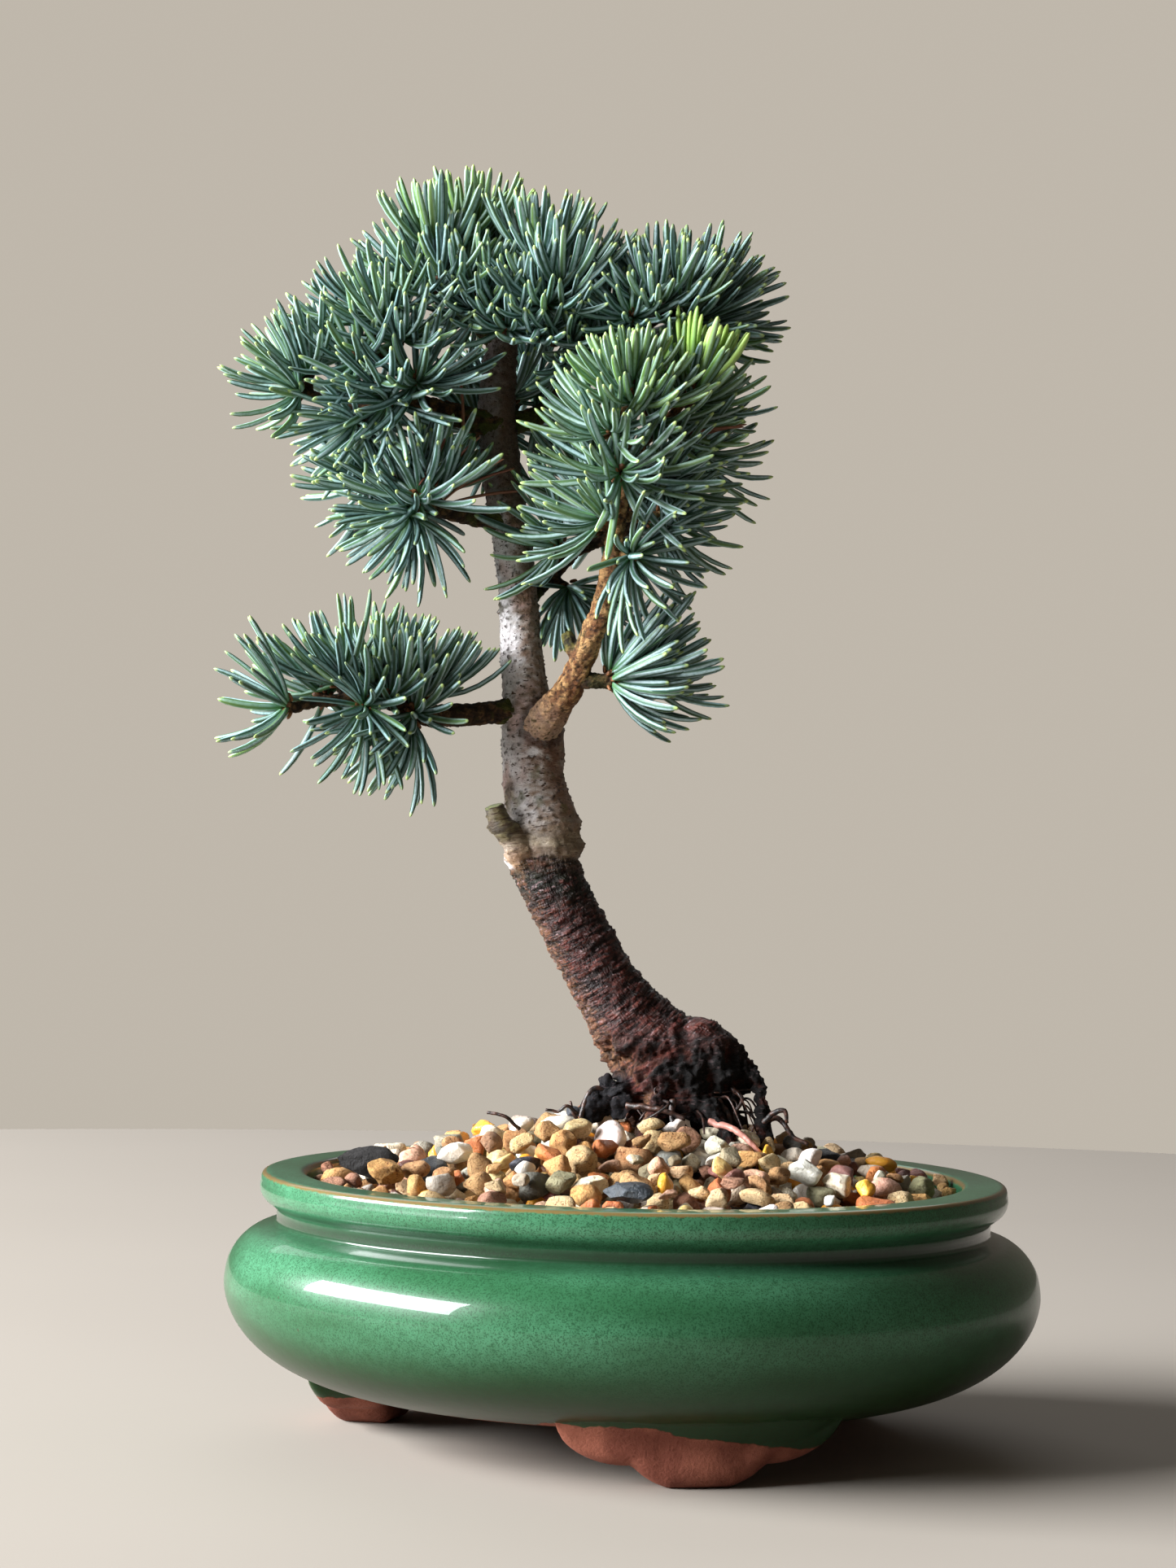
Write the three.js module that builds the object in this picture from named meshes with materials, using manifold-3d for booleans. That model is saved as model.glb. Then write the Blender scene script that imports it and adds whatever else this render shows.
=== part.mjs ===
// A bonsai tree in a pot: a young blue cedar in a round glazed pot on three cloud feet.
// Millimetres, +Z up. The origin is on the pot's axis, on the surface that the feet stand on.
// The front of the tree faces -Y.
import * as THREE from 'three';
import { mergeVertices } from 'three/addons/utils/BufferGeometryUtils.js';
import Module from 'manifold-3d';

const wasm = await Module();
wasm.setup();

// ---------------------------------------------------------------------------
// Driving dimensions
// ---------------------------------------------------------------------------
const GAP = 0.3; // air left between pieces that rest against each other

const POT = {
  height: 64.5,
  mouthRadius: 80.2,
  rimRadius: 91.7,
  neckRadius: 87.5,
  neckHeight: 53.6,
  bellyRadius: 100,
  bellyHeight: 38,
  undersideHeight: 12,
  undersideRadius: 60,
  wall: 7.5,
  floor: 7,
  holeRadius: 8,
  sides: 40,
};

const FOOT = {
  count: 3,
  firstAzimuth: 13, // degrees from the front, towards +X
  innerRadius: 60,
  outerRadius: 78,
  halfWidth: 33,
  top: 17.5, // ends inside the clay of the floor
  stations: 16,
  // each lobe: centre along the foot, centre height, half width, half height
  lobes: [[0, 8, 17, 9], [-18.5, 13.5, 15, 8.5], [18.5, 13.5, 15, 8.5]],
};

const MESH = { side: 32, thickness: 0.8, holes: 5, pitch: 5.6, holeSide: 4 };
const CLIP = { wireRadius: 0.7, legX: 5.6, armX: 16 };

const SOIL = { edgeHeight: 50, peakHeight: 69, recessRadius: 24, recessHeight: 23.5 };
const GRAVEL = { edgeHeight: 62, peakHeight: 82.5, steepness: 1.3, rings: 5 };

// The trunk's route from its buried crown to its tip: x, y, z and radius.
const TRUNK_ROUTE = [
  [10, 4, 60, 8], [10, 4, 72, 8.5], [9, 3, 80, 11], [8, 3, 87, 14.4], [6, 3, 93, 13.2], [-1, 3, 101, 10.6],
  [-7.8, 2, 110.5, 8.8], [-15.6, 1, 124, 8.5], [-20.3, 0, 133, 8.2], [-23.5, 0, 141, 9.1],
  [-24.5, 0, 150, 9], [-27, 0, 161, 7.6], [-27.3, 0, 172, 7.7], [-29.3, 0, 183, 5.8],
  [-30.5, 0, 193, 5.2], [-32, 0, 209, 4.7], [-34.5, 0, 225, 4.7], [-36.8, 0, 239, 4.8],
  [-38, 0, 253, 4.6], [-37.5, 0, 264, 4.1], [-35.5, -1, 275, 3.3], [-33, -2, 284, 2.4],
];

// Wood that grew out of the trunk's foot, and the stump of a branch cut off long ago.
const TRUNK_EXTRAS = [
  // the swelling at the right of the base
  [[8, 2, 97, 7], [14, 0, 94, 10.5], [19, 0, 89, 9], [16, 2, 82, 6]],
  // the leg root that stands clear of the base before it dives into the gravel
  [[22, -2, 93, 3.5], [28, -4, 90.5, 2.5], [31, -7, 83, 2.1], [31.5, -10, 73, 2.4]],
  // surface roots: left, front left, front right, back left, back right
  [[2, -4, 86, 5], [-7, -6, 83.5, 3.4], [-13, -8, 76, 1.8], [-18, -9, 68, 1.4]],
  [[6, -8, 84, 4.5], [4, -16, 78, 2.4], [0, -25, 70, 1.6]],
  [[16, -6, 84, 4.5], [21, -15, 77, 2.2], [28, -23, 68, 1.5]],
  [[2, 10, 84, 5], [-8, 20, 78, 2.6], [-16, 29, 67, 1.7]],
  [[16, 10, 84, 5], [24, 19, 77, 2.6], [33, 27, 66, 1.7]],
  // the cut stub
  [[-27, -4, 140.5, 4], [-31, -7.5, 145.5, 3.1], [-34.2, -9.4, 150, 2.7], [-36.2, -10.4, 154.6, 2.5]],
];

// Every shoot: its route (x, y, z, radius) and the needle tufts on it. A tuft is
// [station along the route, direction it faces]; station 2 is the route's third point.
// Shoots with the same name are one piece of wood.
const SHOOTS = [
  { name: 'branch_lower_left',
    route: [[-31, -2, 177.8, 3.3], [-43.5, -6, 176.7, 2.8], [-53, -9, 176.3, 2.7],
      [-60.5, -12, 178.5, 1.9], [-68, -15, 180, 1.6], [-76, -18, 179, 1.3], [-84, -20, 177.4, 1.1]],
    tufts: [[2, [0.1, 0, 1]], [2, [-0.2, -0.5, -1]], [4, [-0.2, 0.3, 1]], [4.6, [-0.3, -0.5, -0.8]],
      [6, [-1, 0, 0]]] },
  { name: 'branch_middle_left',
    route: [[-34, -1, 225, 3.1], [-45, -4, 225.8, 2.5], [-51.7, -7, 227.2, 2.2], [-56, -10, 228.7, 1.8]],
    tufts: [[1.6, [0.1, 0.1, 1]], [3, [-0.6, -0.8, 0.1]]] },
  { name: 'branch_middle_left',
    route: [[-50, -6, 227, 2], [-58, -1, 230, 1.6], [-66, 2, 233.5, 1.2]],
    tufts: [[2, [-1, 0.2, 0.2]]] },
  { name: 'branch_upper_left',
    route: [[-37, -1, 248.5, 3.3], [-50.7, -7, 250.8, 2.8], [-58, -11, 252.5, 2.2],
      [-69.7, -10, 250, 1.6], [-78, -9, 252, 1.3], [-84, -8, 254.7, 1.1]],
    tufts: [[2, [-0.1, -0.9, 0.6]], [3.2, [-0.3, -0.2, -1]], [4, [-0.2, 0.2, 1]], [5, [-1, 0, 0.1]]] },
  { name: 'branch_upper_left',
    route: [[-57, -10, 252.5, 2], [-62, -8, 262, 1.6], [-65.5, -6.5, 270.5, 1.3]],
    tufts: [[2, [-0.3, -0.3, 1]]] },
  { name: 'branch_top_left',
    route: [[-37, 0, 267, 2.6], [-44, -1, 275, 2.1], [-50, -1, 283, 1.6], [-53.5, -1, 289.5, 1.3]],
    tufts: [[1.6, [-0.2, -1, 0.3]], [3, [-0.2, 0, 1]]] },
  { name: 'branch_top_back',
    route: [[-36, 1, 272, 2.4], [-39, 8, 281, 1.9], [-43, 11, 292, 1.3]],
    tufts: [[2, [-0.1, 0.2, 1]]] },
  { name: 'branch_front_right',
    route: [[-25.5, -3, 172.5, 4.8], [-22, -9, 178.5, 4.2], [-18, -12, 184, 3.6],
      [-14.2, -16, 193.5, 3], [-11.1, -19, 201.5, 2.8], [-8.9, -22, 212, 2.5], [-7.9, -24, 220, 2.2],
      [-6.9, -26, 229, 2], [-6.7, -28, 239, 1.8], [-6.6, -28, 250, 1.4], [-6.3, -28, 259, 1.2]],
    tufts: [[5.3, [1, -0.3, 0]], [7.5, [0, -1, 0]], [8.9, [-0.4, -1, 0.3]], [10, [0, 0, 1]]] },
  { name: 'branch_front_right',
    route: [[-6.8, -27, 238, 1.7], [0.5, -22, 245, 1.4], [7, -20, 252, 1.2], [11.5, -20, 259, 1]],
    tufts: [[1.2, [1, 0.2, -0.3]], [3, [0.4, 0, 1]]] },
  { name: 'branch_front_right', // the mossy stub of a dead twig
    route: [[-15, -15, 190, 1.8], [-17.5, -14.5, 192.5, 1.6], [-19, -14, 195, 1.3]],
    tufts: [] },
  { name: 'branch_front_low',
    route: [[-17, -13, 185.5, 2.4], [-11.5, -14, 185.4, 2], [-8, -14.5, 185.2, 1.6]],
    tufts: [[2, [1, -0.1, 0.1]]] },
  { name: 'branch_back_right',
    route: [[-32, 1, 203.5, 2.8], [-27, 7, 209, 2.3], [-22, 11, 214.5, 2], [-17, 13.5, 220, 1.6],
      [-13, 14, 226, 1.2]],
    tufts: [[1.9, [0.2, -0.2, -1]], [2.6, [-1, -0.4, 0.3]], [4, [0.3, -0.1, 1]]] },
  { name: 'branch_back_right',
    route: [[-19, 12.5, 218, 1.5], [-9, 9, 222, 1.3], [-1, 4, 225, 1.1]],
    tufts: [[2, [1, 0, 0.1]]] },
  { name: 'branch_top_right',
    route: [[-36.5, 1, 248, 3], [-27, 4, 252, 2.4], [-18, 4, 261, 2.1], [-8, 2, 270, 1.8],
      [1, 0, 275.5, 1.5], [9, 3, 277.5, 1.2], [14.5, 5, 277.6, 1]],
    tufts: [[3.2, [0, -1, 0.1]], [3.7, [-0.3, 0.2, 1]], [5, [0.2, 0, 1]], [6, [1, 0.1, 0]]] },
  { name: 'branch_back',
    route: [[-36.5, 2, 240, 2.8], [-38, 14, 246, 2.2], [-36, 25, 254, 1.7], [-31, 34, 261, 1.2]],
    tufts: [[1.9, [-1, 0.3, 0.3]], [3, [0.2, 0.8, 0.6]], [2.2, [0.4, 0.1, 1]]] },
];

// Tufts that grow straight from the upper trunk.
const TRUNK_TUFTS = [
  [17.6, [0.4, -1, 0.1]], [18.8, [0.2, -1, 0.3]], [19.6, [1, 0.1, 0.4]], [20, [0.1, 0, 1]],
];

const TUFT = { budRadius: 2.2, needle: 20, faceLimit: -0.35, halfBreadth: 99 };

// Separate large stones on the gravel: name, centre, size along X, Y and Z, colour.
const STONES = [
  ['stone_black', [-63, -30, 68], [9, 6, 4.2], 0x2a2725],
  ['stone_tan', [-56, -40, 68.5], [6, 4.5, 3.8], 0xa88a5e],
  ['stone_slate', [-1, -70, 66.5], [6.5, 4.5, 2.6], 0x3a4148],
];

// ---------------------------------------------------------------------------
// Small tools
// ---------------------------------------------------------------------------
const radians = THREE.MathUtils.degToRad;
const vector = ([x, y, z]) => new THREE.Vector3(x, y, z);

function solidOf(geometry) {
  const bare = geometry.clone();
  bare.deleteAttribute('normal');
  bare.deleteAttribute('uv');
  const merged = mergeVertices(bare, 1e-4);
  return new wasm.Manifold(new wasm.Mesh({
    numProp: 3,
    vertProperties: Float32Array.from(merged.attributes.position.array),
    triVerts: Uint32Array.from(merged.index.array),
  }));
}

function geometryOf(solid) {
  const mesh = solid.getMesh();
  const geometry = new THREE.BufferGeometry();
  geometry.setAttribute('position', new THREE.BufferAttribute(mesh.vertProperties, 3));
  geometry.setIndex(new THREE.BufferAttribute(mesh.triVerts, 1));
  geometry.computeVertexNormals();
  return geometry;
}

function joined(solids) {
  return solids.reduce((whole, solid) => whole.add(solid));
}

function largestBody(solid) {
  const bodies = solid.decompose();
  return bodies.reduce((best, body) => (body.volume() > best.volume() ? body : best));
}

// Points on an elliptical arc in the profile plane (radius, height), angles in degrees.
function arc(centreRadius, centreHeight, across, up, from, to, steps) {
  const points = [];
  for (let i = 0; i <= steps; i += 1) {
    const angle = radians(from + ((to - from) * i) / steps);
    points.push([centreRadius + across * Math.cos(angle), centreHeight + up * Math.sin(angle)]);
  }
  return points;
}

function turned(profile, sides = POT.sides) {
  const points = profile.map(([radius, height]) => new THREE.Vector2(radius, height));
  return new THREE.LatheGeometry(points, sides).rotateX(Math.PI / 2);
}

// ---------------------------------------------------------------------------
// The pot, what covers its drain hole, and what fills it
// ---------------------------------------------------------------------------
function insideOfWall(gap) {
  const bulge = POT.bellyRadius - POT.wall;
  const floorTop = POT.undersideHeight + POT.floor + gap;
  const low = arc(POT.undersideRadius, POT.bellyHeight, bulge - POT.undersideRadius - gap,
    POT.bellyHeight - floorTop, -90, 0, 4);
  const high = arc(POT.mouthRadius - gap, POT.bellyHeight, bulge - POT.mouthRadius, 12, 0, 90, 3);
  return [...low, ...high.slice(1)];
}

function outsideOfPot() {
  const rimCentre = POT.rimRadius - 4.5;
  return [
    ...arc(POT.undersideRadius, POT.bellyHeight, POT.bellyRadius - POT.undersideRadius,
      POT.bellyHeight - POT.undersideHeight, -90, 0, 7),
    ...arc(POT.neckRadius, POT.bellyHeight, POT.bellyRadius - POT.neckRadius, 13.5, 20, 80, 3),
    ...arc(POT.neckRadius + 4.5, POT.neckHeight, 4.5, 4.5, 200, 150, 2),
    ...arc(rimCentre, POT.height - 3.7, 4.5, 4.5, -50, 15, 3),
    [POT.rimRadius - 0.6, POT.height - 0.7],
    [POT.rimRadius - 1.8, POT.height],
  ];
}

function potBowl() {
  const lip = [[POT.mouthRadius + 1.6, POT.height], [POT.mouthRadius, POT.height - 1.6]];
  const inside = insideOfWall(0).reverse();
  const hole = [
    [POT.holeRadius, POT.undersideHeight + POT.floor],
    [POT.holeRadius, POT.undersideHeight],
  ];
  const profile = [...outsideOfPot(), ...lip, ...inside, ...hole];
  return turned([...profile, profile[0]]);
}

function undersideOfFoot(along) {
  const heights = FOOT.lobes.map(([centre, height, half, drop]) => {
    const reach = 1 - ((along - centre) / half) ** 2;
    return reach > 0 ? height - drop * Math.sqrt(reach) : FOOT.top;
  });
  return Math.max(0, Math.min(...heights, FOOT.top - 2));
}

function potFoot(azimuth) {
  const stations = [];
  for (let i = 0; i <= FOOT.stations; i += 1) {
    stations.push(FOOT.halfWidth * ((2 * i) / FOOT.stations - 1));
  }
  const below = stations.map((along) => new THREE.Vector2(along, undersideOfFoot(along)));
  const above = stations.map((along) => new THREE.Vector2(along, FOOT.top)).reverse();
  const depth = FOOT.outerRadius - FOOT.innerRadius;
  const slab = new THREE.ExtrudeGeometry(new THREE.Shape([...below, ...above]),
    { depth, bevelEnabled: false });
  const place = slab.attributes.position;
  for (let i = 0; i < place.count; i += 1) {
    const angle = radians(azimuth) + place.getX(i) / FOOT.outerRadius;
    const radius = FOOT.innerRadius + place.getZ(i);
    place.setXYZ(i, radius * Math.sin(angle), -radius * Math.cos(angle), place.getY(i));
  }
  return slab;
}

function makePot() {
  const solids = [solidOf(potBowl())];
  for (let i = 0; i < FOOT.count; i += 1) {
    solids.push(solidOf(potFoot(FOOT.firstAzimuth + (i * 360) / FOOT.count)));
  }
  return geometryOf(joined(solids));
}

function makeDrainageMesh() {
  const plate = solidOf(new THREE.BoxGeometry(MESH.side, MESH.side, MESH.thickness));
  const reach = (MESH.holes - 1) / 2;
  const holes = [];
  for (let row = -reach; row <= reach; row += 1) {
    for (let column = -reach; column <= reach; column += 1) {
      const hole = new THREE.BoxGeometry(MESH.holeSide, MESH.holeSide, 3 * MESH.thickness);
      holes.push(solidOf(hole.translate(column * MESH.pitch, row * MESH.pitch, 0)));
    }
  }
  const height = POT.undersideHeight + POT.floor + GAP + MESH.thickness / 2;
  return geometryOf(plate.subtract(joined(holes))).translate(0, 0, height);
}

function makeMeshClip() {
  const top = POT.undersideHeight + POT.floor + GAP + MESH.thickness + GAP + CLIP.wireRadius;
  const bottom = POT.undersideHeight - GAP - CLIP.wireRadius;
  const half = [
    [CLIP.armX, bottom], [CLIP.legX + 2, bottom], [CLIP.legX, bottom + 2],
    [CLIP.legX, top - 2], [CLIP.legX - 2, top],
  ];
  const other = half.map(([x, z]) => [-x, z]).reverse();
  const route = [...half, ...other].map(([x, z]) => new THREE.Vector3(x, 0, z));
  const curve = new THREE.CatmullRomCurve3(route, false, 'centripetal');
  const section = new THREE.Shape().absarc(0, 0, CLIP.wireRadius, 0, Math.PI * 2);
  return new THREE.ExtrudeGeometry(section, {
    steps: 26, curveSegments: 3, bevelEnabled: false, extrudePath: curve,
  });
}

function domeHeight(edge, peak, steepness, radius) {
  const reach = POT.mouthRadius - GAP;
  return edge + (peak - edge) * (1 - (Math.min(radius, reach) / reach) ** steepness);
}

function dome(edge, peak, steepness, rings) {
  const reach = POT.mouthRadius - GAP;
  const points = [];
  for (let i = 0; i <= rings; i += 1) {
    const radius = reach * (1 - i / rings);
    points.push([radius, domeHeight(edge, peak, steepness, radius)]);
  }
  return points;
}

function soilBody() {
  const floorTop = POT.undersideHeight + POT.floor + GAP;
  const recess = [[0, SOIL.recessHeight], [SOIL.recessRadius, SOIL.recessHeight],
    [SOIL.recessRadius, floorTop]];
  const top = dome(SOIL.edgeHeight, SOIL.peakHeight, GRAVEL.steepness, 4);
  const side = insideOfWall(GAP).slice(0, -1);
  return solidOf(turned([...recess, ...side, ...top]));
}

function gravelBody() {
  const under = dome(SOIL.edgeHeight + GAP, SOIL.peakHeight + GAP, GRAVEL.steepness, 4).reverse();
  const over = dome(GRAVEL.edgeHeight, GRAVEL.peakHeight, GRAVEL.steepness, GRAVEL.rings);
  return solidOf(turned([...under, ...over]));
}

function stoneBody(centre, size, grow = 0) {
  const stone = new THREE.IcosahedronGeometry(1, 1);
  const place = stone.attributes.position;
  for (let i = 0; i < place.count; i += 1) {
    const [x, y, z] = [place.getX(i), place.getY(i), place.getZ(i)];
    const lump = 1 + 0.12 * Math.sin(3 * x + 2 * y) * Math.cos(2 * z - y);
    place.setXYZ(i, x * lump * (size[0] + grow), y * lump * (size[1] + grow), z * lump * (size[2] + grow));
  }
  return solidOf(stone.translate(...centre));
}

// ---------------------------------------------------------------------------
// Wood
// ---------------------------------------------------------------------------
function routeCurve(route) {
  return new THREE.CatmullRomCurve3(route.map(vector), false, 'centripetal');
}

function radiusAt(route, fraction) {
  const station = fraction * (route.length - 1);
  const before = Math.min(Math.floor(station), route.length - 2);
  return THREE.MathUtils.lerp(route[before][3], route[before + 1][3], station - before);
}

// A round limb along a route: a cylinder whose rings are carried along the curve.
function limb(route, { sides = 8, perPoint = 1, grow = 0 } = {}) {
  const steps = (route.length - 1) * perPoint;
  const curve = routeCurve(route);
  const cylinder = new THREE.CylinderGeometry(1, 1, 1, sides, steps);
  const frames = [];
  let across = new THREE.Vector3(0.31, 0.95, 0.05);
  for (let i = 0; i <= steps; i += 1) {
    const tangent = curve.getTangent(i / steps);
    across = across.clone().addScaledVector(tangent, -across.dot(tangent)).normalize();
    frames.push({ tangent, across, side: new THREE.Vector3().crossVectors(tangent, across) });
  }
  const place = cylinder.attributes.position;
  for (let i = 0; i < place.count; i += 1) {
    const ring = Math.round((place.getY(i) + 0.5) * steps);
    const { tangent, across: u, side } = frames[ring];
    const radius = radiusAt(route, ring / steps) + grow;
    const endGrow = ring === steps ? grow : 0;
    const point = curve.getPoint(ring / steps)
      .addScaledVector(u, -place.getZ(i) * radius)
      .addScaledVector(side, -place.getX(i) * radius)
      .addScaledVector(tangent, endGrow);
    place.setXYZ(i, point.x, point.y, point.z);
  }
  return solidOf(cylinder);
}

function trunkBody(grow = 0) {
  const stem = limb(TRUNK_ROUTE, { sides: 12, grow });
  const extras = TRUNK_EXTRAS.map((route) => limb(route, { sides: 6, perPoint: 2, grow }));
  return joined([stem, ...extras]);
}

function branchBody(name, grow = 0) {
  const own = SHOOTS.filter((shoot) => shoot.name === name);
  return joined(own.map((shoot) => limb(shoot.route, { sides: 8, grow })));
}

// ---------------------------------------------------------------------------
// Needle tufts: a bud with needles standing out all round it
// ---------------------------------------------------------------------------
function tuftOn(route, [station, direction]) {
  const fraction = station / (route.length - 1);
  const curve = routeCurve(route);
  const faces = vector(direction).normalize();
  const tangent = curve.getTangent(fraction);
  const along = tangent.dot(faces);
  const outward = fraction === 1 ? tangent : faces.clone().addScaledVector(tangent, -along).normalize();
  const clear = (fraction === 1 ? 0 : radiusAt(route, fraction)) + GAP + TUFT.budRadius;
  return { centre: curve.getPoint(fraction).addScaledVector(outward, clear), faces };
}

// How far a needle may reach before it meets the space of another tuft or leaves the outline.
function reachOf(tuft, others, direction) {
  let reach = TUFT.needle;
  for (const other of others) {
    const between = other.centre.clone().sub(tuft.centre);
    const distance = between.length();
    const closing = between.normalize().dot(direction);
    if (distance > 0 && closing > 0) reach = Math.min(reach, (distance / 2 - GAP) / closing);
  }
  for (const axis of ['x', 'y']) {
    const room = TUFT.halfBreadth - Math.sign(direction[axis]) * tuft.centre[axis];
    reach = Math.min(reach, room / Math.max(Math.abs(direction[axis]), 0.01));
  }
  return Math.max(reach, TUFT.budRadius);
}

function tuftBody(tuft, others) {
  const bud = new THREE.OctahedronGeometry(TUFT.budRadius, 1).attributes.position;
  const corners = [];
  for (let i = 0; i < bud.count; i += 3) {
    const face = [0, 1, 2].map((k) => new THREE.Vector3().fromBufferAttribute(bud, i + k));
    const middle = face[0].clone().add(face[1]).add(face[2]).normalize();
    const long = middle.dot(tuft.faces) > TUFT.faceLimit;
    const tip = middle.multiplyScalar(long ? reachOf(tuft, others, middle) : TUFT.budRadius);
    for (let k = 0; k < 3; k += 1) corners.push(face[k], face[(k + 1) % 3], tip);
  }
  const needles = new THREE.BufferGeometry().setFromPoints(corners);
  return solidOf(needles.translate(...tuft.centre.toArray()));
}

// ---------------------------------------------------------------------------
// The object
// ---------------------------------------------------------------------------
const LOOKS = {
  glaze: { color: 0x4f9678, roughness: 0.12, metalness: 0 },
  plastic: { color: 0x1f1f1f, roughness: 0.7, metalness: 0 },
  wire: { color: 0x8a8a86, roughness: 0.35, metalness: 1 },
  soil: { color: 0x3a2a1f, roughness: 1, metalness: 0 },
  gravel: { color: 0xb0966f, roughness: 0.85, metalness: 0 },
  bark: { color: 0x5f4a3f, roughness: 0.85, metalness: 0 },
  twig: { color: 0x7d5836, roughness: 0.85, metalness: 0 },
  needles: { color: 0x4f7a70, roughness: 0.55, metalness: 0 },
};

const bonsai = new THREE.Group();

function addPiece(name, geometry, look) {
  const piece = new THREE.Mesh(geometry, new THREE.MeshStandardMaterial(look));
  piece.name = name;
  bonsai.add(piece);
}

function addPotAndFilling(grownTrunk) {
  const grownStones = STONES.map(([, centre, size]) => stoneBody(centre, size, GAP));
  addPiece('pot', makePot(), LOOKS.glaze);
  addPiece('drainage_mesh', makeDrainageMesh(), LOOKS.plastic);
  addPiece('mesh_clip', makeMeshClip(), LOOKS.wire);
  addPiece('soil', geometryOf(largestBody(soilBody().subtract(grownTrunk))), LOOKS.soil);
  const gravel = gravelBody().subtract(joined([grownTrunk, ...grownStones]));
  addPiece('gravel', geometryOf(largestBody(gravel)), LOOKS.gravel);
  for (const [name, centre, size, color] of STONES) {
    const look = { color, roughness: 0.7, metalness: 0 };
    addPiece(name, geometryOf(stoneBody(centre, size)), look);
  }
}

function addWood(grownTrunk) {
  addPiece('trunk', geometryOf(trunkBody()), LOOKS.bark);
  const names = [...new Set(SHOOTS.map((shoot) => shoot.name))];
  let grownWood = grownTrunk;
  for (const name of names) {
    const branch = largestBody(branchBody(name).subtract(grownWood));
    addPiece(name, geometryOf(branch), LOOKS.twig);
    grownWood = grownWood.add(branchBody(name, GAP));
  }
  return grownWood;
}

function addNeedles(grownWood) {
  const tufts = [];
  const collect = (name, route, list) => list.forEach((entry) => {
    tufts.push({ name, ...tuftOn(route, entry) });
  });
  SHOOTS.forEach(({ name, route, tufts: list }) => collect(name.replace('branch', 'needles'), route, list));
  collect('needles_top', TRUNK_ROUTE, TRUNK_TUFTS);
  const counts = {};
  for (const tuft of tufts) {
    counts[tuft.name] = (counts[tuft.name] ?? 0) + 1;
    const others = tufts.filter((other) => other !== tuft);
    const needles = largestBody(tuftBody(tuft, others).subtract(grownWood));
    addPiece(`${tuft.name}_${counts[tuft.name]}`, geometryOf(needles), LOOKS.needles);
  }
}

const grownTrunk = trunkBody(GAP);
addPotAndFilling(grownTrunk);
addNeedles(addWood(grownTrunk));

export default bonsai;
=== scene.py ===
"""A bonsai in a pot: the looks of a young blue cedar in a glazed bowl on three cloud feet.

Lengths are in millimetres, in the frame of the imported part: +Z up, the front faces -Y.
They become metres where a mesh is made. What repeats the part's own dimensions says so.
"""
import math

import bmesh
import bpy
import numpy as np
from mathutils import Matrix, Vector, noise


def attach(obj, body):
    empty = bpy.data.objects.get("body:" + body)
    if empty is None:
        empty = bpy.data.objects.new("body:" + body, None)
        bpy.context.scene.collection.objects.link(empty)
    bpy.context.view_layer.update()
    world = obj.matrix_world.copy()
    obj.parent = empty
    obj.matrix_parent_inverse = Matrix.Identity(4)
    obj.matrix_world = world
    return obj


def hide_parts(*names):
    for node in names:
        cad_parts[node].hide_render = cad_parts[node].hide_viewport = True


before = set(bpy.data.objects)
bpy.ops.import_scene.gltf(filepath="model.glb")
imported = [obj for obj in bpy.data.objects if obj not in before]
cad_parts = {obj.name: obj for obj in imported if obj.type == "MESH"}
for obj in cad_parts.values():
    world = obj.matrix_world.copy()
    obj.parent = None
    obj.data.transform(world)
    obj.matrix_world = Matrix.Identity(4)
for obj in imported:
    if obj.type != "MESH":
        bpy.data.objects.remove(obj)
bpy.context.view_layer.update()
MM = 0.001

# ---------------------------------------------------------------------------
# Dimensions of the part, repeated from its source
# ---------------------------------------------------------------------------
POT = dict(
    height=64.5, mouth=80.2, rim=91.7, neck=87.5, neck_height=53.6, belly=100,
    belly_height=38, underside_height=12, underside=60, wall=7.5, floor=7, hole=8,
)
FOOT = dict(count=3, first=13, inner=60, outer=77, half_width=35, top=18)
# each lobe of a foot: centre along it, centre height, half width, half height
FOOT_LOBES = [(0, 8, 17, 9), (-18.5, 13.5, 15, 8.5), (18.5, 13.5, 15, 8.5)]
GRAVEL = dict(edge=62, peak=82.5, steepness=1.3)

# Routes in the wood: x, y, z and the radius there.
TRUNK_ROUTE = [
    (10, 4, 60, 8), (10, 4, 72, 8.5), (9, 3, 80, 11), (8, 3, 87, 14.4),
    (6, 3, 93, 13.2), (-1, 3, 101, 10.6), (-7.8, 2, 110.5, 8.8), (-15.6, 1, 124, 8.5),
    (-20.3, 0, 133, 8.2), (-23.5, 0, 141, 9.1), (-24.5, 0, 150, 9), (-27, 0, 161, 7.6),
    (-27.3, 0, 172, 7.7), (-29.3, 0, 183, 5.8), (-30.5, 0, 193, 5.2), (-32, 0, 209, 4.7),
    (-34.5, 0, 225, 4.7), (-36.8, 0, 239, 4.8), (-38, 0, 253, 4.6), (-37.5, 0, 264, 4.1),
    (-35.5, -1, 275, 3.3), (-33, -2, 284, 2.4),
]
BASE_SWELLING = [(8, 2, 97, 7), (14, 0, 94, 10.5), (19, 0, 89, 9), (16, 2, 82, 6)]
LEG_ROOT = [(22, -2, 93, 3.5), (28, -4, 90.5, 2.5), (31, -7, 83, 2.1), (31.5, -10, 73, 2.4)]
CUT_STUB = [
    (-27, -4, 140.5, 4), (-31, -7.5, 145.5, 3.1), (-34.2, -9.4, 150, 2.7), (-36.2, -10.4, 154.6, 2.5),
]
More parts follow.
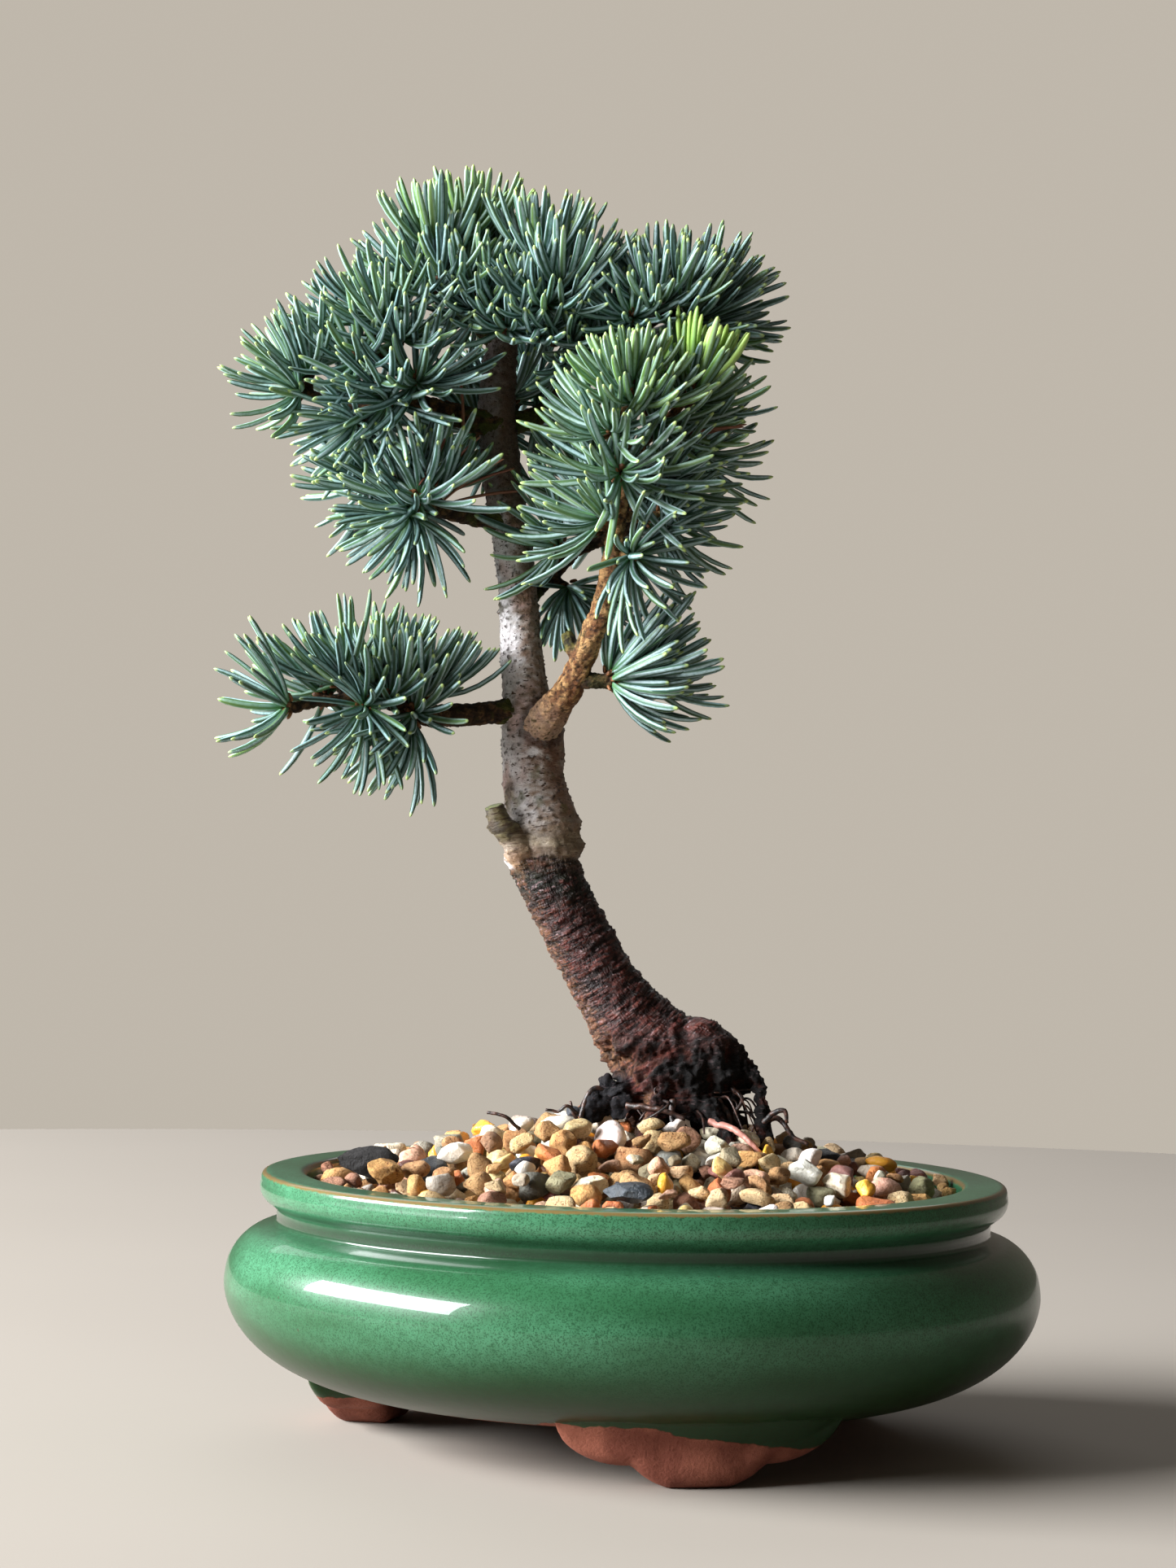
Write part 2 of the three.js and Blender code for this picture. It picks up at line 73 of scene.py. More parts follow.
SURFACE_ROOTS = [
    [(2, -4, 86, 5), (-7, -6, 83.5, 3.4), (-13, -8, 76, 1.8), (-18, -9, 68, 1.4)],
    [(6, -8, 84, 4.5), (4, -16, 78, 2.4), (0, -25, 70, 1.6)],
    [(16, -6, 84, 4.5), (21, -15, 77, 2.2), (28, -23, 68, 1.5)],
    [(2, 10, 84, 5), (-8, 20, 78, 2.6), (-16, 29, 67, 1.7)],
    [(16, 10, 84, 5), (24, 19, 77, 2.6), (33, 27, 66, 1.7)],
]

BRANCHES = {
    "lower_left": [
        [(-28, 0, 178, 4.4), (-33, -2.5, 177.8, 3.3), (-43.5, -6, 176.7, 2.9), (-53, -9, 176.3, 2.7),
         (-60.5, -12, 178.5, 1.9), (-68, -15, 180, 1.6), (-76, -18, 179, 1.3), (-84, -20, 177.4, 1.1)],
    ],
    "middle_left": [
        [(-33, 0, 225, 3.8), (-38, -2, 225, 3), (-45, -4, 225.8, 2.5), (-51.7, -7, 227.2, 2.2),
         (-56, -10, 228.7, 1.8)],
        [(-50, -6, 227, 2), (-58, -1, 230, 1.6), (-66, 2, 233.5, 1.2)],
    ],
    "upper_left": [
        [(-37, -1, 248.5, 3.8), (-42, -3, 249, 3.2), (-50.7, -7, 250.8, 2.8), (-58, -11, 252.5, 2.2),
         (-69.7, -10, 250, 1.6), (-78, -9, 252, 1.3), (-84, -8, 254.7, 1.1)],
        [(-57, -10, 252.5, 2), (-62, -8, 262, 1.6), (-65.5, -6.5, 270.5, 1.3)],
    ],
    "top_left": [[(-37, 0, 267, 2.6), (-44, -1, 275, 2.1), (-50, -1, 283, 1.6), (-53.5, -1, 289.5, 1.3)]],
    "top_back": [[(-36, 1, 272, 2.4), (-39, 8, 281, 1.9), (-43, 11, 292, 1.3)]],
    "front_right": [
        [(-26.5, -2, 172, 5.2), (-24.4, -5.5, 175.5, 4.7), (-21.4, -9, 179.5, 4.1), (-18, -12, 184.5, 3.5),
         (-14.2, -16, 193.5, 3.1),
         (-11.1, -19, 201.5, 2.8), (-8.9, -22, 212, 2.5), (-7.9, -24, 220, 2.3), (-6.9, -26, 229, 2),
         (-6.7, -28, 239, 1.8), (-6.6, -28, 250, 1.4), (-6.3, -28, 259, 1.2)],
        [(-6.8, -27, 238, 1.7), (0.5, -22, 245, 1.4), (7, -20, 252, 1.2), (11.5, -20, 259, 1)],
        [(-15, -15, 190, 1.8), (-17.5, -14.5, 192, 1.6), (-18.6, -14, 195, 1.9), (-19.6, -14, 197, 1.2)],
    ],
    "front_low": [[(-17, -13, 185.5, 2.4), (-11.5, -14, 185.4, 2.1), (-8, -14.5, 185.2, 1.8)]],
    "back_right": [
        [(-32, 1, 203.5, 3), (-27, 7, 209, 2.4), (-22, 11, 214.5, 2), (-17, 13.5, 220, 1.6),
         (-13, 14, 226, 1.2)],
        [(-19, 12.5, 218, 1.5), (-9, 9, 222, 1.3), (-1, 4, 225, 1.1)],
    ],
    "top_right": [
        [(-36.5, 1, 248, 3), (-27, 4, 252, 2.4), (-18, 4, 261, 2.1), (-8, 2, 270, 1.8),
         (1, 0, 275.5, 1.5), (9, 3, 277.5, 1.2), (14.5, 5, 277.6, 1)],
    ],
    "back": [[(-36.5, 2, 240, 2.8), (-38, 14, 246, 2.2), (-36, 25, 254, 1.7), (-31, 34, 261, 1.2)]],
    "top": [],
}

# Needle whorls on each branch: centre, the way it faces, needles, needle length,
# half angle that they fill in degrees, and how young they are from 0 to 1.
WHORLS = {
    "lower_left": [
        ((-54, -8, 181), (0.1, 0, 1), 40, 21, 62, 0),
        ((-60, -9, 182), (-0.2, 0.1, 1), 44, 22, 66, 0),
        ((-56, -13, 177), (-0.3, -1, 0.1), 34, 15, 70, 0),
        ((-57, -10, 174), (-0.5, -0.3, -1), 34, 23, 50, 0),
        ((-66, -13, 183), (-0.35, 0, 1), 46, 23, 76, 0.1),
        ((-74, -15, 184), (-0.6, 0, 0.9), 46, 23, 74, 0.1),
        ((-68, -19, 178), (-0.6, -0.7, -0.45), 42, 22, 72, 0),
        ((-86, -21, 177.6), (-1, -0.1, -0.05), 40, 22, 68, 0.05),
        ((-64, -5, 181), (-0.2, 0.9, 0.5), 40, 21, 74, 0),
        ((-78, -12, 180), (-0.6, 0.8, 0.1), 36, 21, 70, 0),
        ((-62, -17, 180), (-0.3, -0.9, 0.35), 30, 14, 70, 0),
    ],
    "middle_left": [
        ((-56, -13, 229), (-0.45, -0.9, 0.1), 56, 23, 92, 0),
        ((-51.5, -7, 232), (0.15, -0.1, 1), 34, 17, 66, 0),
        ((-69, 2, 234.5), (-1, 0.1, 0.15), 46, 22, 74, 0),
        ((-61, -2, 234), (-0.5, -0.1, 0.9), 40, 20, 70, 0),
        ((-60, 3, 228), (-0.6, 0.5, -0.6), 38, 21, 74, 0),
        ((-58, -10, 225), (-0.55, -0.35, -0.75), 42, 22, 70, 0),
    ],
    "upper_left": [
        ((-57, -15.5, 257), (0, -0.85, 0.55), 52, 21, 88, 0),
        ((-66, -7, 274), (-0.3, -0.2, 1), 52, 23, 82, 0.15),
        ((-72, -12, 262), (-0.55, -0.7, 0.5), 46, 22, 80, 0.1),
        ((-84, -5, 260), (-0.55, 0, 0.85), 46, 22, 74, 0.1),
        ((-86, -9, 255), (-1, -0.1, 0), 44, 21, 76, 0.15),
        ((-72, -8, 247.5), (-0.6, -0.35, -0.8), 44, 22, 68, 0),
        ((-61, -12, 268), (-0.1, -0.7, 0.7), 40, 20, 72, 0.1),
        ((-74, 1, 266), (-0.6, 0.7, 0.4), 44, 21, 80, 0),
        ((-64, -14, 252), (-0.35, -0.7, -0.55), 40, 22, 66, 0),
        ((-70, 2, 250), (-0.4, 0.9, -0.3), 36, 21, 72, 0),
    ],
    "top_left": [
        ((-53, 0, 290.5), (-0.05, 0, 1), 48, 21.5, 48, 0.2),
        ((-53, -6, 281), (-0.15, -0.9, 0.5), 44, 20, 76, 0.1),
        ((-59, 4, 284), (-0.7, 0.5, 0.5), 42, 20, 76, 0),
        ((-47, -2, 282), (0.1, -0.3, 1), 30, 19, 56, 0.1),
    ],
    "top_back": [
        ((-45, 8, 293.5), (0, 0.1, 1), 42, 21, 40, 0.35),
        ((-42, 13, 288), (-0.1, 0.9, 0.5), 42, 20, 78, 0),
        ((-36, 11, 284), (0.6, 0.6, 0.6), 38, 20, 72, 0),
    ],
    "front_right": [
        ((-7, -31, 234.6), (0, -1, 0.12), 62, 24, 96, 0.1),
        ((-9.5, -30, 245), (-0.4, -0.7, 0.7), 50, 22, 78, 0.15),
        ((-4, -30, 252), (0.15, -0.6, 0.9), 48, 20, 70, 0.3),
        ((-5, -27.5, 256), (-0.15, 0, 1), 38, 16, 50, 0.3),
        ((11, -21, 257), (0.35, -0.1, 1), 24, 18, 26, 0.9),
        ((1.5, -24, 248), (0.6, -0.7, 0.5), 44, 22, 74, 0.15),
        ((9, -17, 253), (0.6, 0.2, 0.8), 40, 20, 66, 0.2),
        ((11, -13, 242), (0.95, -0.1, 0.35), 46, 22, 78, 0.05),
        ((-3.5, -25, 215.5), (0.8, -0.45, -0.35), 50, 22, 84, 0),
        ((3.6, -12, 226), (1, -0.1, 0.15), 50, 23, 80, 0),
        ((-11, -25, 224), (-0.95, -0.45, 0.15), 44, 24, 66, 0.1),
        ((4, -21, 233), (0.9, -0.4, -0.1), 40, 22, 70, 0),
    ],
    "front_low": [
        ((-8.5, -12, 187), (0.8, 0.2, 0.5), 40, 23, 60, 0),
        ((-8, -14, 185.5), (1, -0.1, -0.15), 34, 23, 44, 0),
        ((-1, -11, 188), (1, 0.3, 0.25), 36, 22, 50, 0),
        ((-7, -13, 185.5), (1, -0.1, -0.35), 16, 17, 32, 0),
    ],
    "back_right": [
        ((-22, -4, 219), (-0.9, -0.5, 0.1), 40, 23, 62, 0.1),
        ((-12, 15, 224), (0.4, 0.8, 0.2), 44, 21, 80, 0),
        ((-14, 14, 231), (-0.1, 0.1, 1), 40, 20, 70, 0),
        ((-19.5, 9, 209), (0.25, -0.35, -1), 40, 19, 60, 0),
        ((0, 4, 226), (1, 0.1, 0.1), 44, 22, 76, 0),
        ((-5, 9, 229), (0.4, 0.6, 0.8), 40, 21, 76, 0),
        ((-14, 2, 236), (0.2, -0.6, 0.8), 38, 20, 70, 0.1),
    ],
    "top_right": [
        ((1, -8, 278), (0.05, -0.35, 1), 54, 22, 70, 0),
        ((8, 0, 279), (0.25, 0, 1), 52, 23, 70, 0),
        ((15.5, 5, 278), (1, 0, 0.12), 46, 22, 72, 0),
        ((-5, -15, 274), (-0.1, -0.9, 0.5), 34, 14, 74, 0),
        ((-13, -4, 270), (-0.25, -0.85, 0.45), 46, 20, 74, 0),
        ((9, -5, 275), (0.6, -0.6, 0.5), 44, 22, 74, 0),
        ((-10, 9, 271), (-0.1, 0.9, 0.4), 42, 21, 80, 0),
        ((7, 9, 277), (0.5, 0.8, 0.35), 42, 21, 78, 0),
        ((8, 2, 271), (0.6, -0.1, -0.8), 34, 19, 64, 0),
        ((-17, -4, 266), (0.2, -0.9, 0.2), 36, 18, 66, 0),
    ],
    "back": [
        ((-31, 35.5, 262.5), (0.2, 0.8, 0.6), 48, 21, 86, 0),
        ((-43, 15, 249), (-0.9, 0.4, 0.3), 44, 21, 80, 0),
        ((-36, 21, 257), (0, 0.2, 1), 42, 20, 78, 0),
        ((-29, 24, 252), (0.9, 0.3, 0.1), 44, 21, 80, 0),
        ((-40, 25, 251), (-0.5, 0.7, -0.5), 40, 20, 76, 0),
    ],
    "top": [
        ((-28, -2, 287), (0.03, -0.1, 1), 50, 22, 46, 0.1),
        ((-22, -7, 282), (0.1, -0.4, 1), 46, 21, 50, 0.05),
        ((-26, -12, 277), (0.15, -0.8, 0.6), 50, 21, 74, 0),
        ((-27, -10, 270), (0.3, -0.8, 0.5), 40, 19, 60, 0),
        ((-35.5, -10, 272), (-0.2, -0.85, 0.5), 38, 18, 62, 0),
        ((-43, -7, 277), (-0.5, -0.7, 0.6), 38, 19, 66, 0),
        ((-19, -8, 268), (0.6, -0.75, 0.2), 42, 20, 66, 0),
        ((-29, 6, 280), (0.4, 0.8, 0.6), 44, 21, 78, 0),
        ((-44, 5, 276), (-0.7, 0.6, 0.2), 42, 20, 80, 0),
    ],
}

# Dead needles that still hang in the crown: where each starts, where it points, its length.
DEAD_NEEDLES = [
    ((-52, -8, 229), (0.9, -0.2, 0.35), 21), ((-51, -9, 228), (0.8, -0.3, 0.55), 20),
    ((-50, -6, 228), (1, 0, 0.2), 19), ((-48, -12, 249), (-0.45, -0.3, -1), 20),
    ((-47, -9, 260), (0.05, -0.2, -1), 19), ((-53, -10, 231), (0.7, -0.1, 0.8), 18),
    ((6, -24, 244), (1, -0.2, 0.15), 17), ((8, -22, 243), (1, -0.1, 0.3), 16),
]

# Thin dark roots over the gravel: x, y, z and radius along each.
FINE_ROOTS = [
    [(-5, -6, 84, 0.8), (-10, -8, 86, 0.7), (-13, -9, 81, 0.6), (-13.5, -9, 77, 0.5)],
    [(-14, -12, 80, 0.5), (-17, -14, 82, 0.45), (-19, -13, 80.5, 0.4), (-22, -14, 81, 0.35)],
    [(-13, -12, 78, 0.45), (-15, -13, 80, 0.4), (-16, -12, 83, 0.35)],
    [(-28, -14, 76, 0.5), (-32, -15, 79.5, 0.45), (-36, -14, 80, 0.4)],
    [(9, -14, 84, 0.9), (9, -17, 79, 0.7), (10, -19, 76, 0.6)],
    [(20, -8, 84, 0.9), (22.5, -10, 80, 0.8), (23.5, -11, 75, 0.7)],
    [(23, -6, 87, 0.7), (26, -8, 84, 0.5), (24, -9, 80, 0.5), (27, -10, 76, 0.45)],
    [(31, -8, 79, 0.9), (35, -10, 80, 0.7), (38, -11, 76, 0.6), (42, -12, 74, 0.5)],
    [(30, -9, 77, 0.8), (33, -12, 81, 0.7), (36, -13, 82, 0.6), (37, -13, 79, 0.4)],
    [(-2, -13, 82.5, 0.8), (5, -16, 82, 0.7), (12, -17, 80, 0.6)],
    [(18, -14, 79, 0.9), (25, -19, 77, 0.8), (30, -22, 72.5, 0.6)],
]


# ---------------------------------------------------------------------------
# Small tools
# ---------------------------------------------------------------------------
def linear(red, green, blue):
    """A colour given in 0-255 screen values, as the linear values that shaders take."""
    return tuple((channel / 255) ** 2.2 for channel in (red, green, blue))


def unit(vectors):
    vectors = np.asarray(vectors, float)
    return vectors / np.linalg.norm(vectors, axis=-1, keepdims=True)


def smoothstep(low, high, values):
    share = np.clip((values - low) / (high - low), 0, 1)
    return share * share * (3 - 2 * share)


def fractal(points, size, octaves=3, seed=0):
    """Noise of about -1 to 1 at each point, with features of that size."""
    shift = np.array([17.3, 5.1, 9.7]) * (seed + 1)
    spots = (np.asarray(points, float) / size + shift).tolist()
    return np.array([noise.fractal(spot, 1.0, 2.0, octaves) for spot in spots])


def cells(points, size, seed=0):
    """How far each point is from the edge of its own cell of that size, from 0."""
    shift = np.array([3.7, 11.9, 7.3]) * (seed + 1)
    spots = (np.asarray(points, float) / size + shift).tolist()
    near = np.array([noise.voronoi(spot)[0][:2] for spot in spots])
    return near[:, 1] - near[:, 0]


class Parts:
    """Shapes gathered into one mesh: points in mm, faces, and numbers kept for each point."""

    def __init__(self):
        self.points = []
        self.faces = []
        self.numbers = {}
        self.count = 0

    def add(self, points, faces, **numbers):
        points = np.asarray(points, float).reshape(-1, 3)
        self.faces.extend([corner + self.count for corner in face] for face in faces)
        self.points.append(points)
        self.count += len(points)
        for name, values in numbers.items():
            values = np.asarray(values, float)
            if values.ndim == 0:
                values = np.full(len(points), float(values))
            self.numbers.setdefault(name, []).append(values)

    def make(self, name):
        mesh = bpy.data.meshes.new(name)
        mesh.from_pydata((np.vstack(self.points) * MM).tolist(), [], self.faces)
        piece = bpy.data.objects.new(name, mesh)
        bpy.context.scene.collection.objects.link(piece)
        for key, values in self.numbers.items():
            keep_numbers(mesh, key, np.concatenate(values))
        shade_smooth(mesh)
        return piece


def shade_smooth(mesh):
    mesh.polygons.foreach_set("use_smooth", np.ones(len(mesh.polygons), bool))
    mesh.update()


def keep_numbers(mesh, name, values):
    """Stores one number, or one colour of three, for each point of a mesh."""
    if values.ndim == 1:
        mesh.attributes.new(name, "FLOAT", "POINT").data.foreach_set("value", values.astype(np.float32))
        return
    colours = np.column_stack([values, np.ones(len(values))]).astype(np.float32)
    mesh.attributes.new(name, "FLOAT_COLOR", "POINT").data.foreach_set("color", colours.ravel())


def points_of(piece):
    flat = np.empty(len(piece.data.vertices) * 3)
    piece.data.vertices.foreach_get("co", flat)
    return flat.reshape(-1, 3) / MM


def normals_of(piece):
    flat = np.empty(len(piece.data.vertices) * 3, np.float32)
    piece.data.vertex_normals.foreach_get("vector", flat)
    return flat.reshape(-1, 3).astype(float)


def move_points(piece, points):
    piece.data.vertices.foreach_set("co", (points * MM).ravel())
    piece.data.update()


def settle(piece):
    """Applies the modifiers of a piece to its mesh."""
    depsgraph = bpy.context.evaluated_depsgraph_get()
    mesh = bpy.data.meshes.new_from_object(piece.evaluated_get(depsgraph))
    piece.modifiers.clear()
    old = piece.data
    piece.data = mesh
    bpy.data.meshes.remove(old)
    shade_smooth(piece.data)
    return piece


def fused(piece, voxel, smoothing):
    """One closed skin over the overlapping shapes of a piece."""
    remesh = piece.modifiers.new("fuse", "REMESH")
    remesh.mode = "VOXEL"
    remesh.voxel_size = voxel * MM
    smooth = piece.modifiers.new("smooth", "SMOOTH")
    smooth.factor = 0.5
    smooth.iterations = smoothing
    return settle(piece)


def finish_piece(piece, material, slot, *nodes):
    piece.data.materials.clear()
    piece.data.materials.append(material)
    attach(piece, "root")
    if nodes:
        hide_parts(*nodes)
    return piece


def spline(route, step=1.0):
    """Points about a step apart on the centripetal curve through a route."""
    knots = np.array(route, float)
    knots = np.vstack([2 * knots[0] - knots[1], knots, 2 * knots[-1] - knots[-2]])
    pieces = []
    for i in range(1, len(knots) - 2):
        a, b, c, d = knots[i - 1:i + 3]
        gaps = [math.sqrt(np.linalg.norm((q - p)[:3])) for p, q in ((a, b), (b, c), (c, d))]
        t0, t1, t2, t3 = np.cumsum([0] + gaps)
        count = max(2, round(np.linalg.norm((c - b)[:3]) / step))
        t = np.linspace(t1, t2, count, endpoint=False)[:, None]
        ab = ((t1 - t) * a + (t - t0) * b) / (t1 - t0)
        bc = ((t2 - t) * b + (t - t1) * c) / (t2 - t1)
        cd = ((t3 - t) * c + (t - t2) * d) / (t3 - t2)
        first = ((t2 - t) * ab + (t - t0) * bc) / (t2 - t0)
        second = ((t3 - t) * bc + (t - t1) * cd) / (t3 - t1)
        pieces.append(((t2 - t) * first + (t - t1) * second) / (t2 - t1))
    return np.vstack([*pieces, knots[-2:-1]])


def frames_along(path):
    """Tangent and two directions across, carried along a path without twisting."""
    tangents = unit(np.gradient(path[:, :3], axis=0))
    across = np.array([0.31, 0.95, 0.05])
    sideways = []
    for tangent in tangents:
        across = unit(across - across.dot(tangent) * tangent)
        sideways.append(across)
    sideways = np.array(sideways)
    return tangents, sideways, np.cross(tangents, sideways)


def ring_faces(rings, sides, first=0):
    """Quads between rings that follow each other, and a flat cap at each end."""
    faces = []
    for ring in range(rings - 1):
        start = first + ring * sides
        for side in range(sides):
            other = (side + 1) % sides
            faces.append([start + side, start + other, start + sides + other, start + sides + side])
    faces.append([first + side for side in reversed(range(sides))])
    faces.append([first + (rings - 1) * sides + side for side in range(sides)])
    return faces


def add_limb(parts, path, sides=14, **numbers):
    """A round limb along a path whose fourth column is its radius."""
    _, u, v = frames_along(path)
    angles = np.linspace(0, 2 * math.pi, sides, endpoint=False)[None, :, None]
    around = np.cos(angles) * u[:, None] + np.sin(angles) * v[:, None]
    points = path[:, None, :3] + around * path[:, None, 3:4]
    parts.add(points, ring_faces(len(path), sides), **numbers)


class Paint:
    """A node material: each method adds a node and gives its output."""

    def __init__(self, name, settings=None):
        self.material = bpy.data.materials.new(name)
        self.material.use_nodes = True
        self.tree = self.material.node_tree
        self.shader = self.tree.nodes["Principled BSDF"]
        self.where = self.put("ShaderNodeTexCoord").outputs["Object"]
        for socket, value in (settings or {}).items():
            self.shader.inputs[socket].default_value = value

    def put(self, kind, inputs=None, **properties):
        node = self.tree.nodes.new(kind)
        for name, value in properties.items():
            setattr(node, name, value)
        for name, value in (inputs or {}).items():
            self.feed(node.inputs[name], value)
        return node

    def feed(self, socket, value):
        if isinstance(value, bpy.types.NodeSocket):
            self.tree.links.new(value, socket)
        elif isinstance(value, tuple) and socket.type == "RGBA":
            socket.default_value = (*value, 1)
        else:
            socket.default_value = value

    def number(self, name):
        return self.put("ShaderNodeAttribute", attribute_name=name).outputs["Fac"]

    def colour(self, name):
        return self.put("ShaderNodeAttribute", attribute_name=name).outputs["Color"]

    def math(self, operation, first, second=0.0):
        return self.put("ShaderNodeMath", {0: first, 1: second}, operation=operation).outputs[0]

    def use_place(self, name):
        """Takes the places for noise from what is kept on the mesh."""
        self.where = self.put("ShaderNodeAttribute", attribute_name=name).outputs["Vector"]

    def noise(self, size, detail=3.0, stretch=(1, 1, 1), distortion=0.0, roughness=0.5):
        """Noise from 0 to 1 with features of that size in mm, longer where stretch is over 1."""
        squeeze = tuple(1 / amount for amount in stretch)
        place = self.put("ShaderNodeMapping", {"Vector": self.where, "Scale": squeeze}).outputs[0]
        inputs = {"Vector": place, "Scale": 1 / (size * MM), "Detail": detail,
                  "Distortion": distortion, "Roughness": roughness}
        return self.put("ShaderNodeTexNoise", inputs).outputs["Fac"]

    def spots(self, size, randomness=1.0):
        inputs = {"Vector": self.where, "Scale": 1 / (size * MM), "Randomness": randomness}
        return self.put("ShaderNodeTexVoronoi", inputs).outputs["Distance"]

    def ramp(self, value, low, high, first=0.0, last=1.0):
        inputs = {"Value": value, "From Min": low, "From Max": high, "To Min": first, "To Max": last}
        node = self.put("ShaderNodeMapRange", inputs, interpolation_type="SMOOTHSTEP")
        return node.outputs["Result"]

    def mix(self, share, first, second, blend="MIX"):
        node = self.put("ShaderNodeMix", data_type="RGBA", blend_type=blend)
        self.feed(node.inputs["Factor"], share)
        sockets = [socket for socket in node.inputs if socket.type == "RGBA"]
        self.feed(sockets[0], first)
        self.feed(sockets[1], second)
        return next(socket for socket in node.outputs if socket.type == "RGBA")

    def bump(self, height, depth, under=None):
        """Relief of that depth in mm, on top of another relief."""
        inputs = {"Height": height, "Distance": depth * MM, "Strength": 1.0}
        if under is not None:
            inputs["Normal"] = under
        return self.put("ShaderNodeBump", inputs).outputs["Normal"]

    def finish(self, colour, roughness, normal=None):
        self.feed(self.shader.inputs["Base Color"], colour)
        self.feed(self.shader.inputs["Roughness"], roughness)
        if normal is not None:
            self.feed(self.shader.inputs["Normal"], normal)
        return self.material


# ---------------------------------------------------------------------------
# Materials
# ---------------------------------------------------------------------------
def glaze_colour(paint, height):
    """Green that drifts in tone, darkens to olive downwards (partly its own tint, partly painted shade),
    pools in the neck and is brown on thin edges.
    """
    drift = paint.noise(28, detail=2, stretch=(2.5, 2.5, 0.6))
    mottle = paint.noise(2.0, detail=4)
    speckle = paint.noise(0.45, detail=2, roughness=0.75)
    colour = paint.mix(paint.ramp(drift, 0.35, 0.7), linear(46, 90, 61), linear(70, 123, 92))
    colour = paint.mix(paint.ramp(mottle, 0.35, 0.75, 0, 0.35), colour, linear(36, 72, 46))
    # Darker olive towards the foot: partly the glaze's own tint, partly painted shade on the underside.
    colour = paint.mix(paint.ramp(height, 46 * MM, 16 * MM, 0, 0.9), colour, linear(34, 42, 16))
    colour = paint.mix(paint.math("MULTIPLY", paint.number("pool"), 0.9), colour, linear(17, 32, 17))
    colour = paint.mix(paint.ramp(speckle, 0.48, 0.62, 0, 0.7), colour, linear(28, 60, 38))
    pinholes = paint.ramp(paint.spots(9), 0.055, 0.03, 0, 0.8)
    colour = paint.mix(pinholes, colour, linear(52, 54, 38))
    edge = paint.math("ADD", paint.number("edge"), paint.math("MULTIPLY", mottle, 0.6))
    return paint.mix(paint.ramp(edge, 0.85, 1.2, 0, 0.85), colour, linear(112, 88, 52))


def clay_colour(paint, grain):
    tone = paint.noise(9, detail=3)
    clay = paint.mix(paint.ramp(tone, 0.35, 0.65), linear(108, 62, 50), linear(138, 84, 68))
    return paint.mix(paint.ramp(grain, 0.55, 0.75, 0, 0.5), clay, linear(74, 38, 31))


def glaze_material():
    """Jade glaze over terracotta, which is bare below the height kept on the mesh."""
    paint = Paint("jade_glaze", {"Coat Roughness": 0.03, "Coat IOR": 1.4, "Specular IOR Level": 0.2})
    height = paint.put("ShaderNodeSeparateXYZ", {0: paint.where}).outputs["Z"]
    clay_grain = paint.noise(0.9, detail=5, roughness=0.65)
    wander = paint.math("MULTIPLY", paint.noise(4, detail=2), 2.2 * MM)
    above = paint.math("SUBTRACT", paint.math("ADD", height, wander), paint.number("glaze_end"))
    bare = paint.ramp(above, 1.2 * MM, 0.8 * MM)
    colour = paint.mix(bare, glaze_colour(paint, height), clay_colour(paint, clay_grain))
    less_below = paint.ramp(height, 22 * MM, 50 * MM, 0.05, 1)
    gloss = paint.math("MULTIPLY", paint.ramp(bare, 0, 1, 0.6, 0), less_below)
    paint.feed(paint.shader.inputs["Coat Weight"], gloss)
    roughness = paint.ramp(bare, 0, 1, 0.3, 0.85)
    peel = paint.bump(paint.noise(5, detail=2), 0.05)
    grain = paint.bump(paint.math("MULTIPLY", clay_grain, bare), 0.35, peel)
    return paint.finish(colour, roughness, grain)


def stone_material():
    """Pebbles: each has its own colour and grit, with blotches, veins and small pits."""
    paint = Paint("pebbles", {"Specular IOR Level": 0.45})
    tint = paint.colour("tint")
    grit = paint.number("grit")
    blotch = paint.noise(3.2, detail=4, distortion=1.2)
    veins = paint.noise(2.2, detail=2, stretch=(1, 2.4, 0.7), distortion=2.5)
    grain = paint.noise(0.45, detail=4, roughness=0.7)
    warm = paint.mix(1.0, tint, (1.0, 0.74, 0.46), "MULTIPLY")
    colour = paint.mix(paint.ramp(blotch, 0.5, 0.75, 0, 0.4), tint, warm)
    dark = paint.mix(1.0, tint, (0.36, 0.24, 0.16), "MULTIPLY")
    colour = paint.mix(paint.math("MULTIPLY", paint.ramp(veins, 0.58, 0.66), grit), colour, dark)
    speck = paint.math("MULTIPLY", paint.ramp(grain, 0.54, 0.7), paint.ramp(grit, 0, 1, 0.05, 0.7))
    colour = paint.mix(speck, colour, dark)
    pale = paint.mix(0.6, tint, tint, "SCREEN")
    colour = paint.mix(paint.ramp(blotch, 0.6, 0.36, 0, 0.5), colour, pale)
    roughness = paint.ramp(grit, 0, 1, 0.25, 0.85)
    depth = paint.math("MULTIPLY", grain, paint.ramp(grit, 0, 1, 0.15, 1))
    pits = paint.noise(1.3, detail=3, distortion=0.6)
    pits = paint.math("MULTIPLY", pits, paint.ramp(grit, 0, 1, 0.2, 1))
    normal = paint.bump(depth, 0.8, paint.bump(pits, 1.2))
    return paint.finish(colour, roughness, normal)


def soil_material():
    paint = Paint("potting_soil")
    crumbs = paint.noise(2, detail=6, roughness=0.7)
    colour = paint.mix(paint.ramp(crumbs, 0.3, 0.7), linear(34, 25, 18), linear(84, 62, 44))
    return paint.finish(colour, 0.95, paint.bump(crumbs, 1.2))


